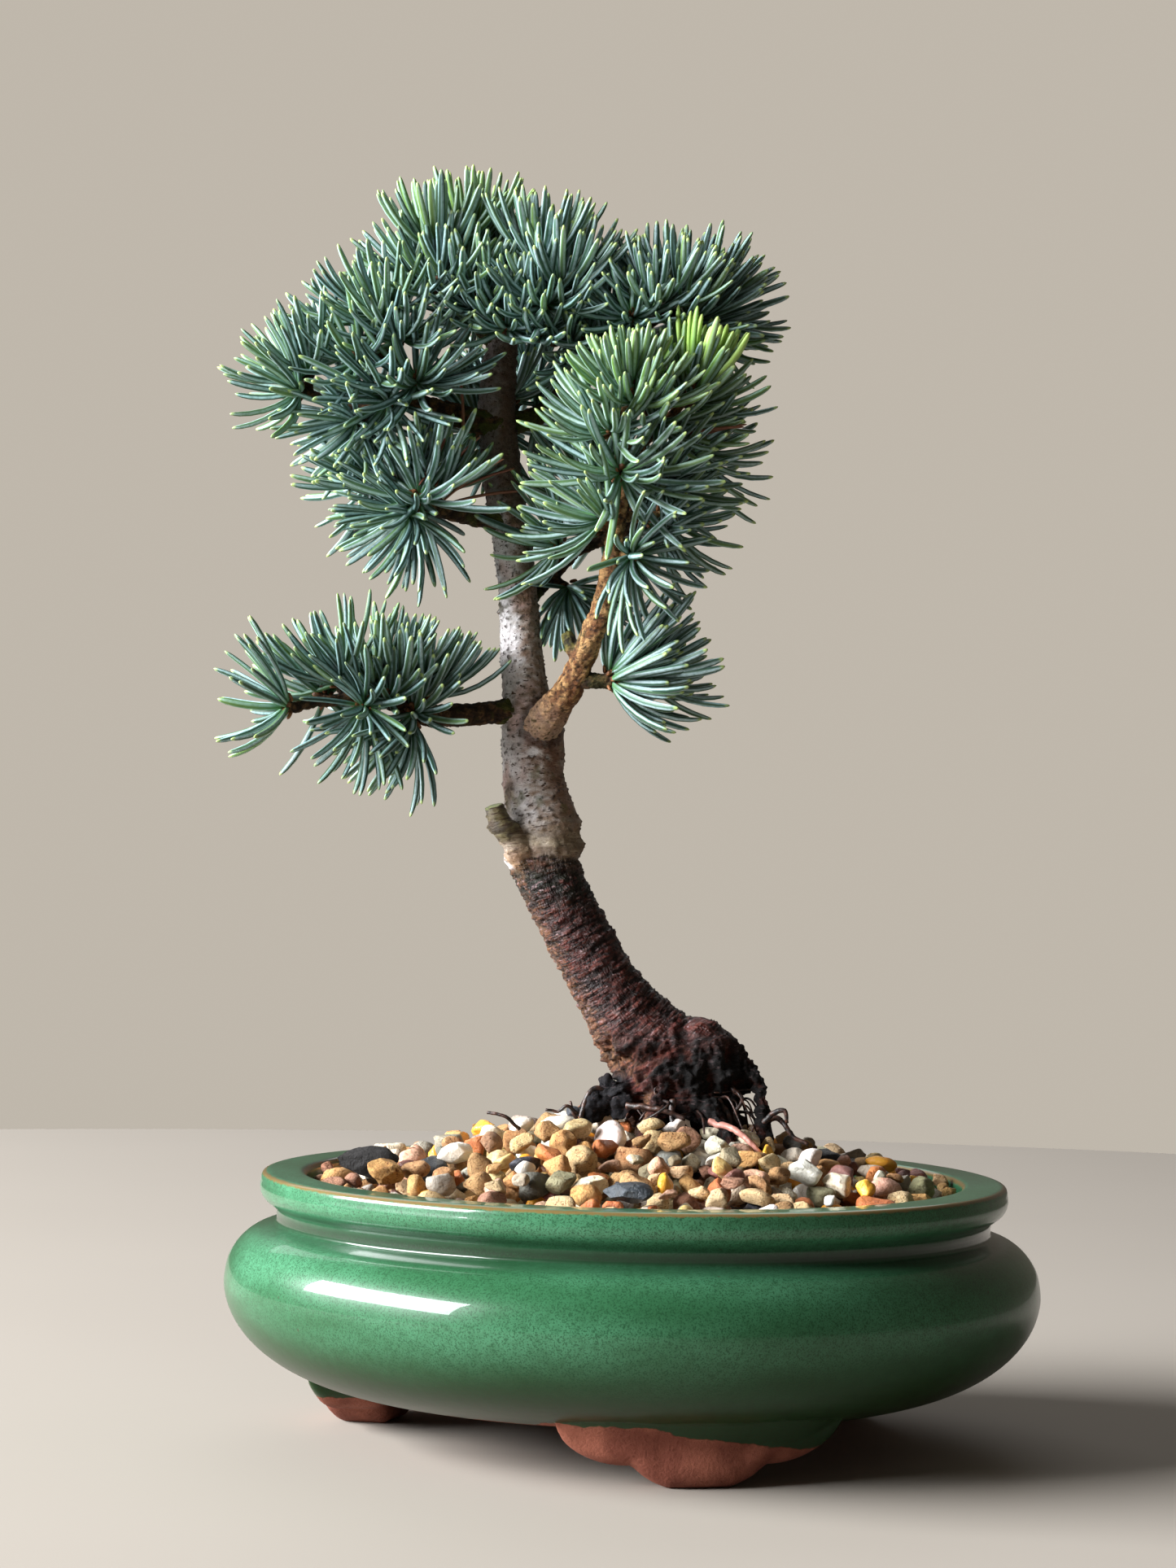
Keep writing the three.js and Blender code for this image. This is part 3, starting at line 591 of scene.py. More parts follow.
def bark_material(name, flake, fleck_colour):
    """Bark whose main colour comes with the mesh, with finer flakes, rings, flecks and painted glints over
    it.
    """
    paint = Paint(name, {"Specular IOR Level": 0.35})
    paint.use_place("place")
    tint = paint.colour("tint")
    smooth = paint.number("smooth")
    ringed_bark = paint.number("ringed")
    flakes = paint.noise(flake, detail=5, roughness=0.65, stretch=(1.6, 1.6, 0.7))
    grain = paint.noise(0.35, detail=4, roughness=0.7)
    lines = paint.noise(0.55, detail=3, roughness=0.6, stretch=(7, 7, 1), distortion=0.3)
    splits = paint.noise(0.5, detail=2, stretch=(0.8, 0.8, 3.5))
    flecks = paint.noise(0.9, detail=2, stretch=(2, 2, 0.7))
    dark = paint.math("MULTIPLY", paint.ramp(flakes, 0.32, 0.7, 0.7, 0), paint.ramp(smooth, 0, 1, 1, 0.4))
    colour = paint.mix(dark, tint, (0.3, 0.24, 0.22), "MULTIPLY")
    pale = paint.mix(1.0, tint, tint, "SCREEN")
    colour = paint.mix(paint.ramp(grain, 0.52, 0.74, 0, 0.75), colour, pale)
    fleck = paint.math("MULTIPLY", paint.ramp(flecks, 0.62, 0.68), smooth)
    colour = paint.mix(fleck, colour, fleck_colour)
    line = paint.math("MULTIPLY", paint.ramp(lines, 0.5, 0.36), ringed_bark)
    colour = paint.mix(line, colour, linear(26, 14, 13))
    split = paint.math("MULTIPLY", paint.ramp(splits, 0.4, 0.3, 0, 0.7), ringed_bark)
    colour = paint.mix(split, colour, linear(24, 14, 12))
    # Painted highlight: pale grey-violet glints on the ringed bark.
    painted_glint = paint.math("MULTIPLY", paint.ramp(flecks, 0.62, 0.68, 0, 0.6), ringed_bark)
    colour = paint.mix(painted_glint, colour, linear(152, 126, 128))
    relief = paint.math("MULTIPLY", paint.math("ADD", lines, splits), ringed_bark)
    relief = paint.math("ADD", relief, flakes)
    normal = paint.bump(relief, 0.8, paint.bump(grain, 0.35))
    roughness = paint.ramp(paint.math("ADD", smooth, ringed_bark), 0.1, 1, 0.95, 0.36)
    return paint.finish(colour, roughness, normal)


def root_material():
    paint = Paint("wet_roots", {"Specular IOR Level": 0.5})
    tone = paint.noise(1.6, detail=4)
    colour = paint.mix(paint.ramp(tone, 0.35, 0.7), linear(22, 17, 16), linear(74, 48, 38))
    colour = paint.mix(paint.number("pink"), colour, linear(168, 116, 104))
    return paint.finish(colour, 0.5, paint.bump(tone, 0.4))


def needle_material():
    """Blue-green needles, striped with pale bloom, green at the base and yellow at the tip."""
    paint = Paint("cedar_needles", {"Specular IOR Level": 0.45})
    along = paint.number("along")
    tone = paint.number("tone")
    fresh = paint.number("fresh")
    stripe = paint.number("stripe")
    bloom = paint.noise(1.1, detail=3, roughness=0.6)
    green = paint.mix(tone, linear(28, 54, 40), linear(64, 98, 80))
    blue = paint.mix(tone, linear(122, 155, 157), linear(170, 196, 201))
    pale = paint.math("MULTIPLY", paint.ramp(stripe, 0.25, 0.75), paint.ramp(bloom, 0.25, 0.6, 0.55, 1))
    colour = paint.mix(pale, green, blue)
    young = paint.mix(tone, linear(128, 176, 66), linear(170, 206, 96))
    share = paint.math("MULTIPLY", fresh, paint.ramp(along, 0.0, 0.6, 0.35, 0.95))
    colour = paint.mix(share, colour, young)
    colour = paint.mix(paint.ramp(along, 0.32, 0.02, 0, 0.75), colour, linear(78, 128, 70))
    tip = paint.math("MULTIPLY", paint.ramp(along, 0.93, 0.98), paint.ramp(tone, 0, 1, 0.35, 0.9))
    colour = paint.mix(tip, colour, linear(172, 196, 112))
    dead = paint.mix(tone, linear(112, 66, 50), linear(158, 106, 84))
    colour = paint.mix(paint.number("dead"), colour, dead)
    return paint.finish(colour, 0.48, paint.bump(bloom, 0.06))


def bud_material():
    paint = Paint("bud_scales")
    tone = paint.noise(0.9, detail=3)
    colour = paint.mix(paint.ramp(tone, 0.3, 0.7), linear(66, 40, 26), linear(142, 94, 56))
    return paint.finish(colour, 0.6, paint.bump(tone, 0.2))


def mesh_material():
    paint = Paint("woven_plastic")
    tone = paint.noise(0.6, detail=3)
    colour = paint.mix(paint.ramp(tone, 0.3, 0.7), linear(24, 25, 26), linear(44, 46, 46))
    return paint.finish(colour, 0.6, paint.bump(tone, 0.08))


def wire_material():
    paint = Paint("aluminium_wire", {"Metallic": 1.0})
    tone = paint.noise(0.8, detail=3, stretch=(3, 1, 1))
    colour = paint.mix(paint.ramp(tone, 0.3, 0.7), linear(150, 150, 146), linear(190, 190, 186))
    return paint.finish(colour, paint.ramp(tone, 0.3, 0.7, 0.25, 0.5), paint.bump(tone, 0.03))


# ---------------------------------------------------------------------------
# The pot
# ---------------------------------------------------------------------------
def arc(centre_radius, centre_height, across, up, start, end, steps):
    angles = np.radians(np.linspace(start, end, steps + 1))
    return np.column_stack([centre_radius + across * np.cos(angles), centre_height + up * np.sin(angles)])


def rounded_profile(points, per_span=4):
    """A smooth line through profile points."""
    flat = np.column_stack([points, np.zeros(len(points))])
    knots = np.vstack([2 * flat[0] - flat[1], flat, 2 * flat[-1] - flat[-2]])
    line = []
    for a, b, c, d in zip(knots, knots[1:], knots[2:], knots[3:]):
        for t in np.arange(per_span) / per_span:
            line.append(0.5 * (2 * b + (c - a) * t + (2 * a - 5 * b + 4 * c - d) * t ** 2
                               + (3 * b - a - 3 * c + d) * t ** 3))
    return np.vstack([line, flat[-1:]])[:, :2]


def pot_profile():
    rim_centre = POT["rim"] - 4.5
    bulge = POT["belly"] - POT["wall"]
    floor_top = POT["underside_height"] + POT["floor"]
    outside = np.vstack([
        arc(POT["underside"], POT["belly_height"], POT["belly"] - POT["underside"],
            POT["belly_height"] - POT["underside_height"], -90, 0, 12),
        arc(POT["neck"], POT["belly_height"], POT["belly"] - POT["neck"], 13.5, 20, 80, 4),
        arc(POT["neck"] + 4.5, POT["neck_height"], 4.5, 4.5, 200, 150, 3),
        arc(rim_centre, POT["height"] - 3.7, 4.5, 4.5, -50, 15, 4),
        [(POT["rim"] - 0.5, POT["height"] - 0.8), (POT["rim"] - 1.7, POT["height"] - 0.1),
         (POT["rim"] - 4, POT["height"]), (POT["mouth"] + 3, POT["height"]),
         (POT["mouth"] + 1.2, POT["height"] - 0.2), (POT["mouth"] + 0.2, POT["height"] - 1.2),
         (POT["mouth"], POT["height"] - 3)],
    ])
    inside = np.vstack([
        arc(POT["mouth"], POT["belly_height"], bulge - POT["mouth"], 12, 90, 0, 5),
        arc(POT["underside"], POT["belly_height"], bulge - POT["underside"],
            POT["belly_height"] - floor_top, 0, -90, 8)[1:],
    ])
    hole = [(POT["hole"], floor_top), (POT["hole"], POT["underside_height"])]
    return np.vstack([rounded_profile(outside), rounded_profile(inside, 2), hole])


def make_bowl():
    sides = 256
    profile = pot_profile()
    angles = np.linspace(0, 2 * math.pi, sides, endpoint=False)
    points = np.stack([
        profile[:, :1] * np.cos(angles), profile[:, :1] * np.sin(angles),
        np.repeat(profile[:, 1:], sides, 1),
    ], axis=-1)
    faces = ring_faces(len(profile), sides)[:-2]
    last = (len(profile) - 1) * sides
    for side in range(sides):
        other = (side + 1) % sides
        faces.append([last + side, last + other, other, side])
    bowl = Parts()
    bowl.add(points, faces)
    return bowl.make("glazed_pot")


def foot_section(along):
    """The outline across a foot as radius and height, from its outer top round to its inner top."""
    heights = []
    swell = 0
    for place, centre, half, drop in FOOT_LOBES:
        inside = 1 - ((along - place) / half) ** 2
        heights.append(centre - drop * math.sqrt(inside) if inside > 0 else FOOT["top"])
        nearly = 1 - ((along - place) / (half + 1)) ** 2
        swell = max(swell, math.sqrt(max(0, nearly)))
    soft = 0.9
    under = -soft * math.log(sum(math.exp(-height / soft) for height in heights))
    under = min(max(under, 0), FOOT["top"] - 1)
    outer = FOOT["outer"] - 3 + 3.2 * swell
    rounding = min(5.5, (FOOT["top"] - under) * 0.6)
    outline = []
    for height in np.linspace(FOOT["top"], under + rounding, 9):
        flare = 6.5 * smoothstep(9, FOOT["top"] + 2, height)
        outline.append((outer + flare, height))
    last = outline[-1][0]
    for angle in np.radians(np.linspace(0, 90, 9)[1:]):
        outline.append((last - rounding * (1 - math.cos(angle)), under + rounding * (1 - math.sin(angle))))
    for angle in np.radians(np.linspace(90, 0, 6)):
        outline.append((FOOT["inner"] + 3 * (1 - math.cos(angle)), under + 3 * (1 - math.sin(angle))))
    outline.append((FOOT["inner"], max(FOOT["top"], under + 3)))
    return np.array(outline)


def make_feet():
    feet = Parts()
    stations = np.linspace(-FOOT["half_width"], FOOT["half_width"], 91)
    sections = [foot_section(along) for along in stations]
    for i in range(FOOT["count"]):
        azimuth = math.radians(FOOT["first"] + 360 * i / FOOT["count"])
        angles = azimuth + stations / FOOT["outer"]
        points = [
            np.column_stack([radius * math.sin(angle), -radius * math.cos(angle), height])
            for angle, section in zip(angles, sections) for radius, height in [section.T]
        ]
        feet.add(np.vstack(points), ring_faces(len(stations), len(sections[0])))
    return feet.make("feet")


# How high the glaze ends on a foot, at places along it.
GLAZE_END = [
    (-40, 13.5), (-36, 15), (-12, 15), (-4, 12.5), (6, 11.5), (18, 9.5), (30, 9), (36, 11), (40, 13.5),
]


def glaze_masks(pot):
    """Where the clay is bare, where the glaze is thin on an edge, and where it pools."""
    points = points_of(pot)
    radius = np.hypot(points[:, 0], points[:, 1])
    height = points[:, 2]
    azimuth = np.degrees(np.arctan2(points[:, 0], -points[:, 1]))
    between = 360 / FOOT["count"]
    from_foot = (azimuth - FOOT["first"] + between / 2) % between - between / 2
    along = np.radians(from_foot) * FOOT["outer"]
    glaze_end = np.interp(along, *zip(*GLAZE_END))
    share = np.clip((radius - POT["underside"]) / (POT["belly"] - POT["underside"]), 0, 1)
    depth = POT["belly_height"] - POT["underside_height"]
    outside = POT["belly_height"] - depth * np.sqrt(1 - share ** 2)
    inside = (radius < POT["mouth"] - 0.6) & (height > outside + 3)
    glaze_end = np.where(inside, 60, glaze_end)
    edges = [(POT["rim"] - 1, POT["height"] - 0.5), (POT["mouth"] + 0.4, POT["height"] - 0.6)]
    rim_edge = sum(np.exp(-((radius - r) ** 2 + (height - z) ** 2) / 1.1 ** 2) for r, z in edges)
    foot_edge = 0.45 * np.exp(-((height - 15) / 2.2) ** 2) * (radius > 70)
    pool = np.exp(-((height - POT["neck_height"]) / 2.6) ** 2) * (radius > POT["mouth"] + 2)
    keep_numbers(pot.data, "glaze_end", glaze_end * MM)
    keep_numbers(pot.data, "edge", rim_edge + foot_edge)
    keep_numbers(pot.data, "pool", pool)


def make_pot():
    pot = make_bowl()
    feet = make_feet()
    union = pot.modifiers.new("feet", "BOOLEAN")
    union.operation = "UNION"
    union.solver = "MANIFOLD"
    union.object = feet
    settle(pot)
    bpy.data.objects.remove(feet)
    glaze_masks(pot)
    finish_piece(pot, glaze_material(), "glazed_pot", "pot")


# ---------------------------------------------------------------------------
# Gravel and stones
# ---------------------------------------------------------------------------
# Pebble colours with how common and how gritty each is.
PEBBLES = [
    ((232, 220, 192), 6, 0.5), ((240, 234, 218), 4, 0.2), ((232, 160, 58), 4, 0.12),
    ((206, 154, 96), 8, 0.7), ((182, 140, 92), 9, 1.0), ((216, 184, 134), 8, 0.9),
    ((208, 158, 132), 4, 0.5), ((158, 116, 90), 5, 0.8), ((152, 142, 128), 5, 0.5),
    ((96, 94, 86), 3, 0.5), ((50, 52, 58), 3, 0.3), ((132, 124, 96), 4, 0.6),
    ((180, 104, 58), 3, 0.4), ((110, 70, 62), 2, 0.3), ((238, 200, 124), 3, 0.2),
]
# The large stones: centre, half sizes, colour and grit.
STONES = {
    "black": ((-63, -30, 68), (8.6, 6, 4.4), (30, 28, 28), 1.0),
    "tan": ((-58.5, -40, 68), (4.6, 4, 3.6), (176, 132, 78), 1.0),
    "slate": ((-1, -70, 66.5), (6.5, 4.5, 2.8), (56, 62, 68), 0.35),
}
# The room round the foot of the trunk that pebbles stay out of: centre and half sizes.
TRUNK_ROOM = ((10, 4, 76), (14.5, 14.5, 30))


def sphere(subdivisions):
    """Points and triangles of an evenly divided ball of radius 1."""
    mesh = bpy.data.meshes.new("ball")
    shape = bmesh.new()
    bmesh.ops.create_icosphere(shape, subdivisions=subdivisions, radius=1)
    shape.to_mesh(mesh)
    shape.free()
    points = np.array([vertex.co for vertex in mesh.vertices], float)
    faces = [list(face.vertices) for face in mesh.polygons]
    bpy.data.meshes.remove(mesh)
    return points, faces


def chipped(ball, random, cuts, roughness):
    """A pebble: a ball with broken faces worn round again, and a rough skin."""
    points = ball.copy()
    for _ in range(cuts):
        towards = unit(random.normal(size=3))
        limit = random.uniform(0.5, 0.88)
        over = np.maximum(points @ towards - limit, 0)
        points = points - np.outer(over * 0.97, towards)
    lumps = fractal(points + random.uniform(-9, 9, 3), 1.1, 2)
    skin = fractal(points + random.uniform(-9, 9, 3), 0.28, 3)
    return points * (1 + 0.16 * lumps + roughness * skin)[:, None]


def dome(x, y):
    share = np.clip(np.hypot(x, y) / POT["mouth"], 0, 1)
    return GRAVEL["edge"] + (GRAVEL["peak"] - GRAVEL["edge"]) * (1 - share ** GRAVEL["steepness"])


def turned_at_random(random, tilt):
    """A turn about the vertical with a tilt of about that many degrees."""
    spin = Matrix.Rotation(random.uniform(0, 2 * math.pi), 3, "Z")
    lean = Matrix.Rotation(math.radians(random.normal(0, tilt)), 3, "X")
    last = Matrix.Rotation(random.uniform(0, 2 * math.pi), 3, "Z")
    return np.array(spin @ lean @ last)


class Bed:
    """A height map that pebbles are dropped on, one after another."""

    CELL = 0.7

    def __init__(self):
        self.reach = POT["mouth"]
        self.count = int(2 * self.reach / self.CELL) + 2
        centres = (np.arange(self.count) + 0.5) * self.CELL - self.reach
        self.x, self.y = np.meshgrid(centres, centres, indexing="ij")
        self.height = dome(self.x, self.y) - 15
        self.top = np.full(self.height.shape, -1)
        self.blocked = [(centre, np.array(size) + 0.3) for centre, size, *_ in STONES.values()]
        self.blocked.append(TRUNK_ROOM)

    def cells_under(self, points):
        places = ((points[:, :2] + self.reach) / self.CELL).astype(int)
        return tuple(np.clip(places, 0, self.count - 1).T)

    def rest(self, points, x, y):
        """Where the pebble comes to rest at x, y, or None where it can't lie."""
        spread = points + (x, y, 0)
        if np.hypot(spread[:, 0], spread[:, 1]).max() > self.reach - 0.4:
            return None
        lift = (self.height[self.cells_under(spread)] - spread[:, 2]).max()
        spread = spread + (0, 0, lift)
        for centre, size in self.blocked:
            if (((spread - centre) / size) ** 2).sum(1).min() < 1:
                return None
        return spread

    def drop(self, points, index, random, tries):
        """Lays a pebble where it sits lowest: how far it stands out and its points, or None."""
        best = None
        for _ in range(tries):
            share = random.uniform(0.8, 1) if index % 4 == 0 else random.uniform()
            radius = (self.reach - 2) * math.sqrt(share)
            angle = random.uniform(0, 2 * math.pi)
            x, y = radius * math.cos(angle), radius * math.sin(angle)
            spread = self.rest(points, x, y)
            if spread is None:
                continue
            over = spread[:, 2].max() - float(dome(x, y))
            if best is None or over < best[0]:
                best = (over, spread)
        if best is None:
            return None
        over, spread = best
        spots = self.cells_under(spread)
        order = np.argsort(spread[:, 2])
        rows, columns, heights = spots[0][order], spots[1][order], spread[order, 2]
        higher = heights > self.height[rows, columns]
        self.height[rows[higher], columns[higher]] = heights[higher]
        self.top[rows[higher], columns[higher]] = index
        return over, spread


# How many pebbles are poured, how many places each tries, and how far one may stand out.
POURED = 1500
PLACES_TRIED = 14
STANDS_OUT = 2.4


def pebble_shapes(random, count):
    ball, _ = sphere(3)
    shapes = []
    for _ in range(count):
        cuts = int(random.integers(5, 16))
        shapes.append(chipped(ball, random, cuts, random.uniform(0.02, 0.07)))
    return shapes


def drop_pebbles():
    """Fills the bed, and gives the pebbles that show: number, points, tint and grit of each."""
    random = np.random.default_rng(11)
    shapes = pebble_shapes(random, 60)
    share = np.array([common for _, common, _ in PEBBLES], float)
    bed = Bed()
    pebbles = []
    for index in range(POURED):
        size = random.uniform(2.7, 5.3) if random.uniform() < 0.75 else random.uniform(1.5, 2.9)
        scale = size * np.array([1, random.uniform(0.6, 0.95), random.uniform(0.5, 0.85)])
        shape = shapes[int(random.integers(len(shapes)))] * scale
        shape = shape @ turned_at_random(random, 34).T
        found = bed.drop(shape, index, random, PLACES_TRIED)
        kind = int(random.choice(len(PEBBLES), p=share / share.sum()))
        colour, _, grit = PEBBLES[kind]
        shade = random.uniform(0.82, 1.12)
        tint = np.clip(np.array(linear(*colour)) * shade * random.uniform(0.93, 1.07, 3), 0, 1)
        if found is None or found[0] > STANDS_OUT:
            continue
        pebbles.append((index, found[1], tint, grit))
    seen = set(np.unique(bed.top))
    return [pebble for pebble in pebbles if pebble[0] in seen]


def make_gravel():
    shown = drop_pebbles()
    shown.sort(key=lambda pebble: math.atan2(pebble[1][:, 1].mean(), pebble[1][:, 0].mean()))
    _, triangles = sphere(3)
    material = stone_material()
    groups = 5
    for number in range(groups):
        first = number * len(shown) // groups
        last = (number + 1) * len(shown) // groups
        part = Parts()
        for _, points, tint, grit in shown[first:last]:
            part.add(points, triangles, tint=np.tile(tint, (len(points), 1)), grit=grit)
        finish_piece(part.make(f"gravel_{number + 1}"), material, "gravel", "gravel")
    return material


def make_stones(material):
    random = np.random.default_rng(5)
    ball, triangles = sphere(5)
    for name, (centre, size, colour, grit) in STONES.items():
        part = Parts()
        shape = chipped(ball, random, 9, 0.05 * grit)
        tint = np.tile(linear(*colour), (len(shape), 1))
        part.add(shape * size + centre, triangles, tint=tint, grit=grit)
        slot = "tan_stone" if name == "tan" else "dark_stone"
        finish_piece(part.make(f"large_stone_{name}"), material, slot, f"stone_{name}")


# ---------------------------------------------------------------------------
# Wood
# ---------------------------------------------------------------------------
def place_on(points, line):
    """For each point: how far along the line its nearest spot is, and the angle around it."""
    steps = np.linalg.norm(np.diff(line[:, :3], axis=0), axis=1)
    lengths = np.concatenate([[0], np.cumsum(steps)])
    tangents, u, v = frames_along(line)
    nearest = np.empty(len(points), int)
    for start in range(0, len(points), 4000):
        block = points[start:start + 4000]
        gaps = ((block[:, None] - line[None, :, :3]) ** 2).sum(2)
        nearest[start:start + 4000] = gaps.argmin(1)
    offset = points - line[nearest, :3]
    forward = (offset * tangents[nearest]).sum(1)
    angle = np.arctan2((offset * v[nearest]).sum(1), (offset * u[nearest]).sum(1))
    return lengths[nearest] + forward, angle, line[nearest]


def blend(share, first, second):
    share = np.clip(share, 0, 1)[:, None]
    return np.asarray(first) * (1 - share) + np.asarray(second) * share


def ringed(along, angle, around, pitch, seed):
    """Noise that runs round a limb in rings: around is how fast it changes along a ring."""
    ring = np.column_stack([np.cos(angle) * around, np.sin(angle) * around, along / pitch])
    return fractal(ring, 1, 3, seed)


# Knots that swell out of the stem: x, y, z and radius.
KNOTS = [
    (-6, -6, 85.5, 3.6), (-9.5, -7, 82.5, 3), (-3, -8, 82, 3), (24.5, -2, 91, 3.4),
    (13, -7, 84, 5), (-22.5, -6.5, 146, 3), (-28.5, 0, 178, 4.6), (2, -6, 87, 4),
]
# Mossy collars in the forks: x, y, z and reach.
MOSSY_FORKS = [(-30, -1, 178, 6), (-34, 0, 205, 6), (-33, -1, 226, 5), (-22, -7, 170, 3.5)]


def trunk_relief(points, along, angle):
    """The share of each kind of bark at each point, and the noises that carve and colour it."""
    height = points[:, 2]
    wave = 1.6 * np.sin(angle) + 0.9 * np.sin(3 * angle + 1)
    lower_ridge = np.exp(-((height + wave - 143.5) / 1.5) ** 2)
    upper_ridge = np.exp(-((height + 0.6 * wave - 150) / 1.3) ** 2)
    plates = cells(np.column_stack([np.cos(angle) * 2.2, np.sin(angle) * 2.2, along / 2.6]), 1, 3)
    return dict(
        low=smoothstep(142.2, 140.8, height + wave),
        base=smoothstep(104, 94, height),
        collar=np.exp(-((height - 146) / 4.5) ** 2),
        ridge=lower_ridge + 0.8 * upper_ridge,
        rings=ringed(along, angle, 1.1, 1.7, 1),
        fine=ringed(along, angle, 1.5, 0.62, 2),
        crack=smoothstep(0.14, 0.02, plates),
        scales=np.maximum(ringed(along, angle, 3.6, 1.3, 10) - 0.1, 0),
        lumps=fractal(points, 7, 3, 4),
        knobs=fractal(points, 3.2, 4, 5),
        pimples=np.maximum(ringed(along, angle, 7, 1.1, 6) - 0.3, 0),
        bands=ringed(along, angle, 1.6, 1.5, 12),
        sharp=fractal(points, 1.7, 3, 11),
    )


def trunk_depth(points, relief):
    """How far the bark stands out: knobs at the foot, flaky rings below the collar, pimples above."""
    low, base, rings, lumps = (relief[name] for name in ["low", "base", "rings", "lumps"])
    flaky = 0.5 * rings + 0.3 * relief["fine"] + 0.5 * relief["scales"]
    flaky = flaky - 0.25 * relief["crack"] * (1 - base) - 0.3
    smooth = 0.16 * rings + 1.1 * relief["pimples"] + 0.3 * lumps + 0.9 * relief["ridge"]
    knobbly = 1.7 * relief["knobs"] + 1.1 * lumps + 0.6 * relief["sharp"]
    depth = low * flaky + (1 - low) * smooth + low * 0.35 * lumps + base * knobbly
    return depth * np.where(points[:, 2] > 84, 1, 0.75)


def make_trunk():
    line = spline(TRUNK_ROUTE, 0.5)
    parts = Parts()
    add_limb(parts, line[::2], 28)
    for route in [BASE_SWELLING, LEG_ROOT, CUT_STUB, *SURFACE_ROOTS]:
        add_limb(parts, spline(route, 1), 16)
    ball, triangles = sphere(3)
    for x, y, z, radius in KNOTS:
        parts.add(ball * radius + (x, y, z), triangles)
    trunk = fused(parts.make("trunk_wood"), 0.45, 5)
    points = points_of(trunk)
    normals = normals_of(trunk)
    along, angle, _ = place_on(points, line)
    relief = trunk_relief(points, along, angle)
    move_points(trunk, points + normals * trunk_depth(points, relief)[:, None])
    low, base, collar = (relief[name] for name in ["low", "base", "collar"])
    keep_numbers(trunk.data, "tint", trunk_colours(points, normals, relief))
    keep_numbers(trunk.data, "smooth", np.clip(1 - low - 0.5 * collar, 0, 1))
    keep_numbers(trunk.data, "ringed", low * (1 - 0.8 * base))
    place = np.column_stack([8 * np.cos(angle), 8 * np.sin(angle), along])
    keep_numbers(trunk.data, "place", np.where(base[:, None] > 0.5, points, place) * MM)
    bark = bark_material("trunk_bark", 1.3, linear(70, 50, 38))
    finish_piece(trunk, bark, "trunk_bark", "trunk")


def grey_bark(points, normals, small, relief):
    """Grey bark, with a silvery painted highlight on the left and painted brown shade on the right, rosy
    patches, dark pimples and a dark top.
    """
    bands = smoothstep(-0.35, 0.35, relief["bands"])
    grey = blend(bands, linear(186, 164, 148), linear(238, 228, 220))
    # Painted highlight: a silvery sheen on the side that faces left, towards the window.
    painted_sheen = smoothstep(0.45, -0.35, normals[:, 0] + 0.6 * small)
    grey = blend(0.75 * painted_sheen, grey, linear(228, 227, 232))
    rosy = smoothstep(-0.1, 0.35, fractal(points * (1, 1, 0.6), 9, 3, 7))
    grey = blend(0.6 * rosy, grey, linear(180, 128, 108))
    # Painted shade: the side that faces right, away from the window, is painted browner and darker.
    painted_shade_side = smoothstep(-0.3, 0.6, normals[:, 0] + 0.5 * small)
    grey = blend(0.7 * painted_shade_side, grey, linear(112, 80, 56))
    grey = blend(3.5 * relief["pimples"], grey, linear(50, 36, 28))
    crown = smoothstep(222, 236, points[:, 2])
    return blend(0.8 * crown, grey, linear(84, 62, 50))


def red_bark(points, normals, small, relief):
    """Dark red-brown rings with pale flecks and dark cracks, greenish just below the collar, and a painted
    highlight on the left.
    """
    rings = smoothstep(-0.35, 0.35, relief["rings"])
    red = blend(rings, linear(34, 15, 14), linear(92, 40, 33))
    red = blend(0.8 * smoothstep(0.05, 0.4, relief["fine"]), red, linear(120, 64, 54))
    red = blend(smoothstep(0.4, 0.6, small), red, linear(118, 92, 88))
    # Painted highlight: the side that faces left, towards the window, is painted a lighter tan.
    painted_lit_side = smoothstep(-0.35, -0.95, normals[:, 0] + 0.3 * small)
    red = blend(0.6 * painted_lit_side, red, linear(146, 108, 76))
    red = blend(0.8 * relief["crack"], red, linear(26, 16, 14))
    lichen = np.exp(-((points[:, 2] - 136) / 5) ** 2) * smoothstep(-0.5, 0.1, small)
    return blend(1.1 * lichen, red, linear(30, 33, 22))


def with_dark_foot(red, points, relief):
    """Nearly black knobs on the right of the foot, and damp bark on its left by the gravel."""
    black = smoothstep(-0.15, 0.4, relief["knobs"] + 0.5 * smoothstep(2, 12, points[:, 0]))
    foot = blend(black, linear(66, 31, 20), linear(10, 5, 4))
    share = relief["base"] * smoothstep(-0.4, 0.6, points[:, 0] / 20 + relief["lumps"])
    red = blend(share, red, foot)
    wet = smoothstep(92, 88, points[:, 2]) * smoothstep(0, -3, points[:, 0])
    return blend(wet, red, linear(22, 21, 26))


def with_moss(tint, points, small):
    height = points[:, 2]
    moss = smoothstep(0.2, 0.5, fractal(points, 3.5, 3, 9))
    moss = moss * smoothstep(146, 158, height) * smoothstep(178, 160, height)
    tint = blend(0.6 * moss, tint, linear(84, 92, 44))
    for x, y, z, reach in MOSSY_FORKS:
        near = np.exp(-((points - (x, y, z)) ** 2).sum(1) / reach ** 2)
        tint = blend(1.1 * near * smoothstep(-0.2, 0.3, small), tint, linear(62, 58, 26))
    return tint


def with_branch_joint(tint, points, small):
    """Rusty bark below the front branch, and painted shade in the crease where it leaves the trunk."""
    below = np.exp(-(np.linalg.norm(points - (-22, -6, 168), axis=1) / 8) ** 2)
    tint = blend(0.7 * below * smoothstep(-0.5, 0.3, small), tint, linear(118, 78, 58))
    branch = spline(BRANCHES["front_right"][0], 1)[:14]
    gaps = [np.linalg.norm(points - spot[:3], axis=1) - spot[3] for spot in branch]
    # Painted shade: darker bark in the crease right round the front branch where it meets the trunk.
    return blend(0.7 * smoothstep(1.7, 0.5, np.min(gaps, axis=0)), tint, linear(58, 38, 30))


